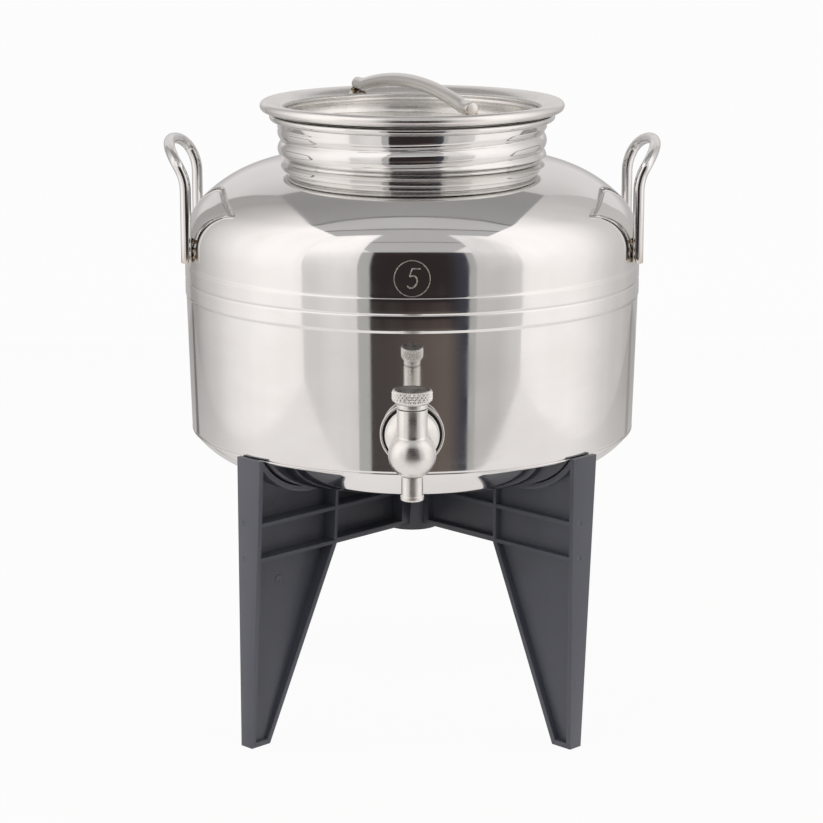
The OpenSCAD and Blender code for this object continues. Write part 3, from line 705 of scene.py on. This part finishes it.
flange_outline = rounded([
    (FLANGE_BORE, FLANGE_BACK), (FLANGE_R, FLANGE_BACK), (FLANGE_R, FLANGE_FRONT),
    (CUP_R, FLANGE_FRONT), (CUP_R, CUP_FLOOR), (FLANGE_BORE, CUP_FLOOR)], SOFT_R)
tap_fitted(turned("tap_flange_cup", flange_outline, TAP_AXIS, 128, OUT),
           "flange", TAP_AXIS, 0.25 * MM, 0.33, "tap_flange")
cup_seal = rounded([
    (ROSETTE_FOOT_R, CUP_FLOOR), (CUP_R, CUP_FLOOR), (CUP_R - 0.1 * MM, SEAL_FRONT),
    (ROSETTE_FOOT_R, SEAL_FRONT)], EDGE)
fitted(turned("tap_cup_seal", cup_seal, TAP_AXIS, 96, OUT),
       soft_rubber("cup_rubber", (0.012, 0.012, 0.012), (0.02, 0.02, 0.02)), "vessel", "seal_rubber")


# Tap body: a stainless ball on the end of the shank, bored through for the valve. Barrel and
# spout are pressed into its top and foot, and each joint shows as a fine line.
ball_low, ball_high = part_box("tap_body")
BALL_R = (ball_high.x - ball_low.x) / 2
TAP = Vector(((ball_low.x + ball_high.x) / 2, ball_low.y + BALL_R, TAP_Z))
BONNET_R = 6.7 * MM
SPOUT_R = 4.7 * MM
BALL_BORE = 2.4 * MM
JOINT = 0.22 * MM
ball_top_turn = math.degrees(math.acos(BONNET_R / BALL_R))
ball_foot_turn = -math.degrees(math.acos(SPOUT_R / BALL_R))
ball_arc = arc(0, 0, BALL_R, ball_foot_turn, ball_top_turn, 48)
ball_outline = (
    [(BALL_BORE, ball_arc[0][1] + JOINT), (SPOUT_R - JOINT, ball_arc[0][1] + JOINT)]
    + ball_arc
    + [(BONNET_R - JOINT, ball_arc[-1][1] - JOINT), (BALL_BORE, ball_arc[-1][1] - JOINT)]
)
tap_fitted(turned("tap_ball", ball_outline, TAP, 128), "ball", TAP, 0.35 * MM, 0.30, "tap_body")


# Barrel: the turned sleeve above the ball that guides the rising stem. It is pressed into the ball
# and brazed, which leaves a small hollow fillet, and its upper edge is broken.
_, bonnet_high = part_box("tap_bonnet")
BONNET_TOP = bonnet_high.z - TAP_Z
STEM_HOLE = 2.65 * MM
FLARE_R = BONNET_R + 0.45 * MM
flare_foot = Vector((FLARE_R, math.sqrt(BALL_R ** 2 - FLARE_R ** 2) - 0.05 * MM))
flare_knee = Vector((BONNET_R, ball_arc[-1][1] + 0.2 * MM))
flare_top = Vector((BONNET_R, ball_arc[-1][1] + 0.9 * MM))
bonnet_outline = (
    [(STEM_HOLE, ball_arc[-1][1])] + curve(flare_foot, flare_knee, flare_top, 10)
    + arc(BONNET_R - EDGE, BONNET_TOP - EDGE, EDGE, 0, 90, 5) + [(STEM_HOLE, BONNET_TOP)]
)
tap_fitted(turned("tap_barrel", bonnet_outline, TAP, 96), "barrel", TAP, 0.3 * MM, 0.28, "tap_bonnet")


# Spout: a short tube pressed into the foot of the ball, with a rounded bead at its mouth that
# keeps the oil from running back.
spout_low, spout_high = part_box("tap_spout")
MOUTH = spout_low.z - TAP_Z
LIP_BEAD_R = (spout_high.x - spout_low.x) / 2
LIP_BEAD_H = 1.8 * MM
SPOUT_BORE = 3.0 * MM
spout_top = ball_arc[0][1] - JOINT * 0.5
spout_outline = rounded([
    (SPOUT_BORE, MOUTH), (LIP_BEAD_R, MOUTH), (LIP_BEAD_R, MOUTH + LIP_BEAD_H),
    (SPOUT_R, MOUTH + LIP_BEAD_H + 0.4 * MM), (SPOUT_R, spout_top),
    (SPOUT_BORE, spout_top)], SOFT_R)
tap_fitted(turned("tap_spout_tube", spout_outline, TAP, 96), "spout", TAP, 0.3 * MM, 0.30, "tap_spout")


# Valve stem: turned stainless pin that rises as the knob turns. It carries the rubber disc that
# shuts the outlet and an O-ring that keeps the oil in; both are pushed on.
stem_low, stem_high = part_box("valve_stem")
ring_low, ring_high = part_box("stem_o_ring")
STEM_R = 2.6 * MM
STEM_PITCH = 1.75 * MM
STEM_DEPTH = 0.4 * MM
FOOT_H = 1.9 * MM
FOOT_EDGE = 0.2 * MM
FOOT_R = (stem_high.x - stem_low.x) / 2
stem_foot = stem_low.z - TAP_Z
stem_top = stem_high.z - TAP_Z
ring_mid = (ring_low.z + ring_high.z) / 2 - TAP_Z
RING_HALF = (ring_high.z - ring_low.z) / 2 + 0.1 * MM
RING_FLOOR = STEM_R - 1.3 * MM


def stem_thread(out, up, angle):
    """The stem's lifting thread, above the O-ring."""
    if abs(out - STEM_R) > ON_FACE or not ring_mid + 1.5 * MM < up < stem_top - STEM_DEPTH:
        return 0.0
    return v_groove(up, angle, STEM_PITCH, STEM_DEPTH)


stem_rows = rows(ring_mid + 1.4 * MM, stem_top - STEM_DEPTH, 60)
stem_outline = (
    [(0, stem_foot), (FOOT_R - FOOT_EDGE, stem_foot), (FOOT_R, stem_foot + FOOT_EDGE),
     (FOOT_R, stem_foot + FOOT_H - FOOT_EDGE), (FOOT_R - FOOT_EDGE, stem_foot + FOOT_H),
     (STEM_R, stem_foot + FOOT_H), (STEM_R, ring_mid - RING_HALF), (RING_FLOOR, ring_mid - RING_HALF),
     (RING_FLOOR, ring_mid + RING_HALF), (STEM_R, ring_mid + RING_HALF)]
    + [(STEM_R, z) for z in stem_rows] + [(STEM_R - STEM_DEPTH, stem_top), (0, stem_top)]
)
tap_fitted(turned("valve_stem_pin", stem_outline, TAP, 64, shape=stem_thread),
           "stem", TAP, 0.25 * MM, 0.16, "valve_stem", "valve_stem")
valve_rubber = soft_rubber("valve_rubber", (0.022, 0.022, 0.024), (0.05, 0.05, 0.052))
for node in ("valve_seal", "stem_o_ring"):
    coated(node, valve_rubber)


# Knob: turned from bar, its rim rolled with a diamond knurl between two chamfers and its top
# dished. A short plain sleeve under the rim meets the barrel, and it is pressed on the stem.
knob_low, knob_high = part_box("tap_knob")
RIM_R = (knob_high.x - knob_low.x) / 2
KNOB_FOOT = knob_low.z - TAP_Z
KNOB_TOP = knob_high.z - TAP_Z
SLEEVE_TOP = KNOB_TOP - 6.0 * MM
CHAMFER = 0.7 * MM
RIM_TAPER = 2.0 * MM
KNURLS = 28
KNURL_DEPTH = 0.75 * MM
KNURL_RISE = 2.2 * MM
KNURL_TIP = 0.8
DISH = 0.6 * MM
DISH_R = 6.7 * MM
DISH_ROWS = 12
KNOB_BORE = STEM_R + 0.05 * MM


def knurl(out, up, angle):
    """Two crossing sets of rolled V grooves that leave rows of small pyramids."""
    if abs(out - RIM_R) > ON_FACE:
        return 0.0
    deep = 1.0
    for hand in (-1, 1):
        turn = angle / math.tau * KNURLS + hand * up / KNURL_RISE
        deep = min(deep, abs(2 * (turn - round(turn))))
    return (min(deep, KNURL_TIP) - 1) * KNURL_DEPTH


rim_rows = rows(SLEEVE_TOP + RIM_TAPER, KNOB_TOP - CHAMFER, 36)
sleeve = rounded([(KNOB_BORE, KNOB_FOOT), (BONNET_R, KNOB_FOOT), (BONNET_R, SLEEVE_TOP),
                  (KNOB_BORE, SLEEVE_TOP)], EDGE)
# The sleeve's two corners at the bore are hidden on the stem, and left out.
knob_outline = (
    [(0, SLEEVE_TOP - 0.2 * MM)] + sleeve[4:-5]
    + [(RIM_R - RIM_TAPER, SLEEVE_TOP), (RIM_R - 0.3 * MM, SLEEVE_TOP + RIM_TAPER - 0.4 * MM)]
    + [(RIM_R, z) for z in rim_rows]
    + [(RIM_R - CHAMFER, KNOB_TOP), (DISH_R + 0.5 * MM, KNOB_TOP)]
    + [(DISH_R * share, KNOB_TOP - DISH * (1 - share ** 2) - 0.05 * MM) for share in rows(1, 0, DISH_ROWS)]
)
tap_fitted(turned("tap_knob_knurled", knob_outline, TAP, 420, shape=knurl),
           "knob", TAP, 0.25 * MM, 0.30, "tap_knob", "tap_knob")


# Lid gasket: a flat ring of pale food-grade silicone between the lid's rim and the neck's lip.
# It is cut from sheet, lies loose on the lip and comes up with the lid.
gasket_low, gasket_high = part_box("lid_gasket")
GASKET_OUT = (gasket_high.x - gasket_low.x) / 2
GASKET_IN = 61.3 * MM
gasket_outline = rounded([(GASKET_IN, gasket_low.z), (GASKET_OUT, gasket_low.z),
                          (GASKET_OUT, gasket_high.z), (GASKET_IN, gasket_high.z)], SOFT_R)
silicone = soft_rubber("lid_silicone", (0.62, 0.62, 0.60), (0.72, 0.72, 0.70))
fitted(turned("lid_gasket_ring", gasket_outline, AXIS),
       silicone, "lid_gasket", "seal_rubber", "lid_gasket")


# Lid: a dish of stainless sheet pressed down into the neck, with a thread rolled in its wall and
# a wide rim curled over at the edge. It is brushed in rings and left satin.
lid_low, lid_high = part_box("lid_pan")
DISH_OUT = 61.2 * MM
DISH_FLOOR = lid_low.z
DISH_CORNER = 6.0 * MM
LID_UNDER = gasket_high.z
LAND_Z = LID_UNDER + 1.5 * MM
ROLL_R = 2.5 * MM
ROLL_TOP = lid_high.z
ROLL_X = (lid_high.x - lid_low.x) / 2 - ROLL_R
FUNNEL = ROLL_X - DISH_OUT + SHEET
FUNNEL_DROP = 9.0 * MM
LID_THREAD_Z = (DISH_FLOOR + 8.0 * MM, LID_UNDER - 3.0 * MM)
LID_THREAD_FADE = 2.0 * MM
LID_THREAD_OUT = 0.7 * MM
SATIN = (0.84, 0.825, 0.805)


def lid_thread(out, up, angle):
    """The shallow thread in the wall of the dish, fading out at both ends."""
    low, high = LID_THREAD_Z
    if not low < up < high or not DISH_OUT - 2 * DISH_CORNER < out <= DISH_OUT + 0.1 * MM:
        return 0.0
    fade = min(1.0, (up - low) / LID_THREAD_FADE, (high - up) / LID_THREAD_FADE)
    return rolled_thread(up, angle, LID_THREAD_OUT) * fade


def brushed_steel(name, colour, dark):
    """Satin sheet brushed in rings about the axis: fine scratches that come and go, and wipe marks."""
    made, shader, place = finish(name, colour, 0.22, 1.0)
    out, height = around(place, AXIS)
    fine = lines(out - height, 0.18 * MM, 4.0)
    broad = lines(out - height, 1.6 * MM, 2.0)
    patches = blotches(place, 16 * MM, 4.0)
    feed(shader, "Base Color", tinted(ramp(fine * 0.3 + patches * 0.7, 0.40, 0.80), colour, dark))
    feed(shader, "Roughness", ramp(fine * 0.5 + patches + broad * 0.4, 0.6, 1.3, 0.20, 0.30))
    feed(shader, "Normal", raised(fine + broad * 1.5, 0.0006 * MM))
    return made


def funnel(out):
    """The height of the lid's upper face between the rim and the dish."""
    return ROLL_TOP - FUNNEL_DROP * (1 - math.sqrt(max(0, 1 - ((ROLL_X - out) / FUNNEL) ** 2)))


funnel_rows = [ROLL_X - FUNNEL * math.sin(a) for a in rows(0, math.pi / 2, 30)[1:]]
lid_rows = rows(DISH_FLOOR + DISH_CORNER, LID_UNDER - 1 * MM, 36)
lid_outline = (
    [(0, DISH_FLOOR)]
    + arc(DISH_OUT - DISH_CORNER, DISH_FLOOR + DISH_CORNER, DISH_CORNER, -90, 0, 12)
    + [(DISH_OUT, z) for z in lid_rows[1:]]
    + [(DISH_OUT + 0.3 * MM, LID_UNDER - 0.3 * MM), (DISH_OUT + 1 * MM, LID_UNDER)]
    + arc(ROLL_X, ROLL_TOP - ROLL_R, ROLL_R, 180, 450, 36)
    + [(x, funnel(x)) for x in funnel_rows]
    + [(DISH_OUT - SHEET, z) for z in lid_rows[:0:-1] if z < ROLL_TOP - FUNNEL_DROP - 0.4 * MM]
    + arc(DISH_OUT - DISH_CORNER, DISH_FLOOR + DISH_CORNER, DISH_CORNER - SHEET, 0, -90, 12)
    + [(0, DISH_FLOOR + SHEET)]
)
fitted(turned("lid_sheet", lid_outline, AXIS, 256, shape=lid_thread),
       brushed_steel("brushed_lid", SATIN, (0.79, 0.775, 0.75)), "lid", "polished_steel", "lid_pan")


# Lid handle: 6.4 mm rod arched over the lid, cut square and polished at the ends, welded to the
# rim at both sides. The welds left straw and brown heat colours.
BAR_R = 3.2 * MM
BAR_Z = LAND_Z + BAR_R + WELD_GAP
BAR_REACH = 65.8 * MM
BAR_RUN = 59.8 * MM
BAR_BEND = 20.0 * MM
BAR_STRAIGHT = 3.0 * MM
BAR_RISE = 6.8 * MM
BAR_ANGLE = 2 * math.atan(BAR_RISE / BAR_RUN)
BAR_ARCH = BAR_RUN / math.sin(BAR_ANGLE) - BAR_BEND
BAR_TURN = math.radians(24.6)
BAR_WAY = Vector((-math.sin(BAR_TURN), math.cos(BAR_TURN), 0))
BAR_WELD_AT = (62.6 * MM, 64.0 * MM, 65.4 * MM)
BAR_WELD_SIZE = (1.2 * MM, 1.2 * MM, 0.8 * MM)
HEATED_R = (60.0 * MM, 66.0 * MM)


def half_bar(end):
    """Half of the lid handle: its straight end, a bend, and its share of the arch."""
    made = [(BAR_REACH, BAR_Z), (BAR_REACH - BAR_STRAIGHT, BAR_Z)]
    for a in rows(0, BAR_ANGLE, 8):
        made.append((BAR_RUN - BAR_BEND * math.sin(a), BAR_Z + BAR_BEND * (1 - math.cos(a))))
    for a in rows(BAR_ANGLE, 0, 24)[1:]:
        made.append((BAR_ARCH * math.sin(a), BAR_Z + BAR_RISE - BAR_ARCH * (1 - math.cos(a))))
    return [AXIS + BAR_WAY * end * along + Vector((0, 0, up)) for along, up in made]


def satin_rod(name):
    """Satin rod with fine lines round it, brown and straw where the welds heated it."""
    made, shader, place = finish(name, (0.74, 0.725, 0.70), 0.22, 1.0)
    out, height = around(place, AXIS)
    streaks = blotches(place, 0.5 * MM, 2.0)
    patches = blotches(place, 9 * MM, 4.0)
    heat = ramp(out + (patches - 0.5) * 5 * MM, *HEATED_R) * ramp(height, BAR_Z + BAR_R, BAR_Z - BAR_R)
    steel = tinted(ramp(streaks, 0.4, 0.7), (0.75, 0.735, 0.71), (0.725, 0.71, 0.685))
    feed(shader, "Base Color", tinted(heat * 0.4, steel, (0.46, 0.34, 0.22)))
    feed(shader, "Roughness", ramp(streaks + patches, 0.6, 1.4, 0.19, 0.27))
    feed(shader, "Normal", raised(streaks * 0.5 + patches, 0.0008 * MM))
    return made


bar = half_bar(-1) + half_bar(1)[-2::-1]
fitted(swept("lid_handle_rod", bar, BAR_R, 40),
       satin_rod("satin_rod"), "lid", "satin_steel", "lid_handle")
bar_spots = []
across_bar = Vector((BAR_WAY.y, -BAR_WAY.x, 0))
for end, edge, along in product((-1, 1), (-1, 1), BAR_WELD_AT):
    bar_spots.append(AXIS + BAR_WAY * end * along + across_bar * edge * WELD_BESIDE
                     + Vector((0, 0, funnel(along) + 0.1 * MM)))
fitted(weld_bead("lid_handle_welds", bar_spots, BAR_WELD_SIZE),
       scorched_weld("bar_weld"), "lid", "satin_steel")


# Stand hub: the moulded core of the stand. Each leg slides down into it by a keyed edge, so the
# four legs lock together without screws.
CHARCOAL = (0.044, 0.048, 0.060)
# The paler colour of the stand, away from the hub and in random worn patches; the darker charcoal towards the
# hub is painted shade.
LIT_AND_WORN = (0.092, 0.100, 0.125)
LEG_R = 110.0 * MM
RIB_Z = (REST_Z - 31.6 * MM, REST_Z - 14.6 * MM)
HUB_R = 12.0 * MM
SAME_POINT = 0.002 * MM
SAME_FACE = math.radians(0.8)
SHARP_EDGE = math.radians(30)


def moulded(name, node):
    """A smooth copy of a CAD node, with its flat faces joined so that every corner can be softened."""
    work = bmesh.new()
    work.from_mesh(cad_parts[node].data)
    bmesh.ops.remove_doubles(work, verts=work.verts, dist=SAME_POINT)
    bmesh.ops.dissolve_limit(work, angle_limit=SAME_FACE, verts=work.verts, edges=work.edges)
    return smooth_mesh(name, work)


def softened(piece, edge):
    """Gives a moulded piece the small rounding that all its corners have."""
    bevel = piece.modifiers.new("softened_corners", "BEVEL")
    bevel.width = edge
    bevel.segments = 2
    bevel.limit_method = "ANGLE"
    bevel.angle_limit = SHARP_EDGE
    bevel.harden_normals = True


def most(first, *others):
    """The largest of some values at each place."""
    for other in others:
        first = first.math("MAXIMUM", first, other)
    return first


def moulded_plastic(name):
    """Charcoal plastic with a fine grain, slight flow marks and a sink mark on the outer flange of a leg
    wherever a rib ends behind it.
    Its colour has painted shade, darker towards the hub under the drum, and random pale patches of wear."""
    made, shader, place = finish(name, CHARCOAL, 0.4, 0.0)
    grain = blotches(place, 0.45 * MM, 2.0)
    patches = blotches(place, 22 * MM, 4.0)
    flow = blotches(place, 5 * MM, 2.0, (1, 1, 0.15))
    out, height = around(place, AXIS)
    x, y, _ = parts_of(place)
    x, y = x - AXIS.x, y - AXIS.y
    rising, falling = abs(x + y), abs(x - y)
    beside_web = rising.math("MINIMUM", rising, falling) * math.sqrt(0.5)
    sink = most(*[ramp((beside_web ** 2 + (height - rib_z) ** 2) ** 0.5, 1.7 * MM, 0.5 * MM)
                  for rib_z in RIB_Z])
    sink = sink * out.math("GREATER_THAN", out, LEG_R - 1 * MM)
    # Painted shade: the colour gets darker towards the hub, where the drum's shadow falls, with random pale
    # patches of wear on top.
    hub_shade_and_wear = ramp(out, HUB_R, LEG_R) + (patches + grain * 0.1 - 0.55) * 0.6
    feed(shader, "Base Color", tinted(ramp(hub_shade_and_wear, 0.0, 1.0), CHARCOAL, LIT_AND_WORN))
    feed(shader, "Roughness", ramp(patches + flow * 0.5, 0.5, 1.0, 0.31, 0.45))
    feed(shader, "Normal", raised(grain + flow * 0.4 - sink * 26, 0.018 * MM))
    return made


stand_plastic = moulded_plastic("charcoal_plastic")
softened(fitted(moulded("stand_hub_moulded", "stand_hub"),
                stand_plastic, "stand", "stand_plastic", "stand_hub"), 0.4 * MM)


# Legs: four equal mouldings with a thin web, wide flanges along their edges and cross ribs. The
# drum's rounded base sits in the cradle at their tops. The moulding gate left a ring on each web.
GATE_AT = 90.0 * MM
GATE_Z = REST_Z - 45.5 * MM
GATE_R = 2.5 * MM
WEB_HALF = 1.2 * MM
GATE_FACE = 0.02 * MM
GATE_FOOT = -0.05 * MM
gate_outline = [(0, GATE_FACE), (GATE_R * 0.55, GATE_FACE), (GATE_R * 0.7, 0.16 * MM),
                (GATE_R * 0.85, 0.18 * MM), (GATE_R, GATE_FOOT), (0, GATE_FOOT)]
for corner, turn in (("front_left", 225), ("front_right", 315), ("back_left", 135), ("back_right", 45)):
    softened(fitted(moulded(f"leg_{corner}_moulded", f"leg_{corner}"),
                    stand_plastic, "stand", "stand_plastic", f"leg_{corner}"), 0.5 * MM)
    along = Vector((math.cos(math.radians(turn)), math.sin(math.radians(turn)), 0))
    web_side = Vector((-along.y, along.x, 0))
    gate = AXIS + along * GATE_AT + web_side * WEB_HALF + Vector((0, 0, GATE_Z))
    fitted(turned(f"leg_{corner}_gate", gate_outline, gate, 40, web_side),
           stand_plastic, "stand", "stand_plastic")


# Studio: a tent of white cloth round the object, with a dark slit in the front wall for the
# camera. The cloth's bright sides and grey top are what the polished steel shows.
WALL_X = 0.62
FRONT_Y = AXIS.y - 0.48
BACK_Y = AXIS.y + 0.90
TOP_Z = 1.26
TOP_FRONT_Y = AXIS.y - 1.57
SLIT = (-0.215, 0.262)
DARK = (-0.160, 0.225)
SLIT_TOP = 0.505
GLOW = 1.25
WARM_CLOTH = (1.0, 0.96, 0.945)
BACK_CLOTH = (1.0, 0.97, 0.965)
TOP_CLOTH = (1.0, 0.98, 0.975)
TOP_SEAMS = ((0.01, 0.008, 0.018), (0.254, 0.010, 0.024), (0.826, 0.010, 0.024))


def upright(start, end, top):
    """The corners of a wall that stands between two places."""
    return [(*start, 0), (*end, 0), (*end, top), (*start, top)]


def spread(half, near, far, height):
    """The corners of a sheet that lies level."""
    return [(-half, near, height), (half, near, height), (half, far, height), (-half, far, height)]


def panel(name, corners, material):
    """A flat sheet of the studio, with its corners in metres. The camera looks through it."""
    mesh = bpy.data.meshes.new(name)
    mesh.from_pydata(corners, [], [tuple(range(len(corners)))])
    mesh.materials.append(material)
    made = bpy.data.objects.new(name, mesh)
    bpy.context.scene.collection.objects.link(made)
    made.visible_camera = False
    made.visible_shadow = False
    made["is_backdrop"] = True
    return made


def glowing(name, paint):
    """Lit cloth or card: it only gives light, in a colour worked out from the place on it."""
    made, shader, place = finish(name, (0, 0, 0), 1.0, 0.0)
    shader.inputs["Specular IOR Level"].default_value = 0.0
    shader.inputs["Emission Strength"].default_value = GLOW
    feed(shader, "Emission Color", paint(place))
    return made


def tone(value, stops, tint=WARM_CLOTH):
    """A tinted grey that changes along a value, given as pairs of a place and a level."""
    low, high = stops[0][0], stops[-1][0]
    share = (value - low) / (high - low)
    stops = [((at - low) / (high - low), [level * part / GLOW for part in tint]) for at, level in stops]
    return share.node("ValToRGB", {"stops": stops}, {"Fac": share})


def dimmed(colour, share):
    """A colour multiplied by a number."""
    return share.node("Mix", {"data_type": "RGBA", "blend_type": "MULTIPLY"},
                      {0: 1.0, 6: colour, 7: share}, 2)


def side_light(far):
    """The cloth of a side wall: brightest beside the drum, fading to a level far behind it."""
    def paint(place):
        _, y, z = parts_of(place)
        level = tone(y - AXIS.y, [(-1.6, 0.75), (-0.6, 1.07), (-0.4, 1.2), (-0.13, 1.2), (0.0, 1.1),
                                  (0.11, 0.95), (0.27, 0.75), (0.59, far), (0.9, far * 0.9)])
        folds = blotches(place, 0.3, 3.0, (1, 1, 0.25))
        return dimmed(level, ramp(z, 0.0, 0.5, 0.93, 1.03) * ramp(folds, 0.3, 0.7, 0.95, 1.02))
    return paint


def front_light(place):
    """The cloth beside the slit: grey low down, bright above, lit from both sides."""
    x, _, z = parts_of(place)
    level = tone(z, [(0.0, 0.66), (0.25, 0.72), (0.4, 0.80), (0.56, 0.98), (TOP_Z, 1.05)])
    folds = blotches(place, 0.14, 3.0, (1, 1, 0.3))
    sides = most(ramp(x, 0.05, -0.05, 0.92, 1.18), ramp(x, 0.40, WALL_X, 0.92, 1.12))
    return dimmed(level, sides * ramp(folds, 0.3, 0.7, 0.95, 1.05))


def top_light(place):
    """The grey cloth overhead, with darker sewn seams across it."""
    y = parts_of(place)[1] - AXIS.y
    level = tone(y, [(-1.6, 0.55), (-0.83, 0.52), (-0.27, 0.52), (-0.24, 0.60),
                     (-0.03, 0.57), (0.01, 0.385), (0.4, 0.34), (0.9, 0.34)], TOP_CLOTH)
    seams = most(*[ramp(abs(y + away), fade, core) for away, core, fade in TOP_SEAMS])
    return dimmed(level, 1 - seams * 0.55)


def back_light(place):
    """The cloth behind the drum: dim low down and brightest at half its height."""
    return tone(parts_of(place)[2], [(0.0, 0.5), (0.3, 0.55), (0.42, 0.78), (0.7, 0.78), (TOP_Z, 0.62)],
                BACK_CLOTH)


def slit_dark(place):
    """The dim room behind the slit, browner low down, between two grey edges."""
    x, _, z = parts_of(place)
    clutter = blotches(place, 0.09, 2.0, (1, 1, 0.35))
    low = tinted(ramp(x + (clutter - 0.5) * 0.1, -0.12, 0.16), (0.060, 0.050, 0.048), (0.125, 0.100, 0.088))
    room = tinted(ramp(z + (clutter - 0.5) * 0.08, 0.10, 0.17), low, (0.026, 0.020, 0.020))
    room = tinted(ramp(x, 0.12, 0.22), room, (0.04, 0.042, 0.055))
    edges = most(ramp(x, DARK[0] + 0.006, DARK[0] - 0.006), ramp(x, DARK[1] - 0.005, DARK[1] + 0.005))
    return tinted(edges, room, (0.38, 0.375, 0.365))


front_cloth = glowing("tent_front", front_light)
for word, x, far in (("left", -WALL_X, 0.45), ("right", WALL_X, 0.62)):
    panel(f"tent_{word}", upright((x, TOP_FRONT_Y), (x, BACK_Y), TOP_Z),
          glowing(f"tent_{word}", side_light(far)))
for word, near, far in (("left", SLIT[0], -WALL_X), ("right", SLIT[1], WALL_X)):
    panel(f"tent_front_{word}", upright((near, FRONT_Y), (far, FRONT_Y), TOP_Z), front_cloth)
panel("tent_top", spread(WALL_X, TOP_FRONT_Y, BACK_Y, TOP_Z), glowing("tent_top", top_light))
panel("tent_back", upright((-WALL_X, BACK_Y), (WALL_X, BACK_Y), TOP_Z), glowing("tent_back", back_light))
panel("tent_slit", upright((SLIT[0], FRONT_Y), (SLIT[1], FRONT_Y), SLIT_TOP),
      glowing("tent_slit", slit_dark))


# Table: a wide white top that keeps the soft shadow of the feet. For the polished steel it glows with a
# painted reflection:
# painted light that runs from white before the drum to grey behind it, with painted dim lines for the cloth's
# hems across the far part.
TABLE_HALF = 14.0
TABLE_SHARE = 0.94
PAINTED_HEM_AT = 0.10
PAINTED_HEM_SLOPE = 0.6


def seen_direct(value):
    """1 for what the camera sees, straight or in a mirror, and 0 for light that falls on things."""
    path = value.node("LightPath", {}, {}).socket.node.outputs
    return most(*[Value(path[kind]) for kind in ("Is Camera Ray", "Is Glossy Ray", "Is Transmission Ray")])


table_white, table_shader, table_place = finish("table_white", (0.88, 0.88, 0.875), 0.6, 0.0)
fleck = blotches(table_place, 0.02, 3.0)
feed(table_shader, "Base Color", tinted(fleck, (0.87, 0.87, 0.865), (0.89, 0.89, 0.885)))
table_shader.inputs["Specular IOR Level"].default_value = 0.1
table_x, table_y, _ = parts_of(table_place)
past_axis = table_y - AXIS.y
# Painted reflection: the glow seen in the steel falls from white in front to grey behind, and dim painted
# lines stand for the hems.
painted_falloff = tone(past_axis, [(-0.6, 1.2), (-0.1, 1.2), (0.0, 1.12), (0.11, 1.0), (0.27, 0.80),
                          (0.59, 0.58), (0.9, 0.52)])
painted_hem_lines = ramp(abs(abs(table_x) - PAINTED_HEM_AT - PAINTED_HEM_SLOPE * past_axis), 0.05, 0.025) * ramp(past_axis, 0.12, 0.25)
in_mirror = dimmed(painted_falloff, 1 - painted_hem_lines * ramp(table_x, -0.1, 0.1, 0.65, 0.3))
camera_ray = Value(table_place.node("LightPath", {}, {}).socket.node.outputs["Is Camera Ray"])
bright = table_place.node("Emission", {}, {"Color": tinted(camera_ray, in_mirror, (1, 1, 1))})
direct = seen_direct(table_place) * TABLE_SHARE
mixed = direct.node("MixShader", {}, {0: direct, 1: Value(table_shader.outputs[0]), 2: bright})
tree = table_white.node_tree
tree.links.new(mixed.socket, tree.nodes["Material Output"].inputs["Surface"])
table = panel("table_top", spread(TABLE_HALF, -TABLE_HALF, TABLE_HALF, 0), table_white)
table.visible_camera = True
table.visible_shadow = True


# Room and camera: plain white all round beyond the table, at a lower level for the light that falls
# on things, and a camera with a long lens that stands before the slit and looks slightly down.
ROOM_LIGHT = 0.6
CAMERA_X = -0.0003
CAMERA_AWAY = 1.270
CAMERA_UP = 0.3095
CAMERA_TILT = math.radians(77.2)
LENS = 116.3
SENSOR = 36
world = bpy.data.worlds.new("studio_room")
bpy.context.scene.world = world
world.use_nodes = True
room = world.node_tree.nodes["Background"]
room.inputs["Color"].default_value = (1, 1, 1, 1)
room_place = Value(world.node_tree.nodes.new("ShaderNodeTexCoord").outputs["Generated"])
room_level = seen_direct(room_place) * (1 - ROOM_LIGHT) + ROOM_LIGHT
world.node_tree.links.new(room_level.socket, room.inputs["Strength"])

camera = bpy.data.objects.new("camera", bpy.data.cameras.new("camera"))
bpy.context.scene.collection.objects.link(camera)
camera.location = (CAMERA_X, AXIS.y - CAMERA_AWAY, REST_Z + CAMERA_UP)
camera.rotation_euler = (CAMERA_TILT, 0, 0)
camera.data.lens = LENS
camera.data.sensor_width = SENSOR
bpy.context.scene.camera = camera
bpy.context.scene.view_settings.view_transform = "Standard"


# Sizes: the box of the CAD solids and the box of the dressed object, side by side.
# Both are in metres, as two corners each.
def plain(box):
    return [[float(x) for x in corner] for corner in box]


{"cad": plain(cad_bounds), "visual": plain(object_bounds())}
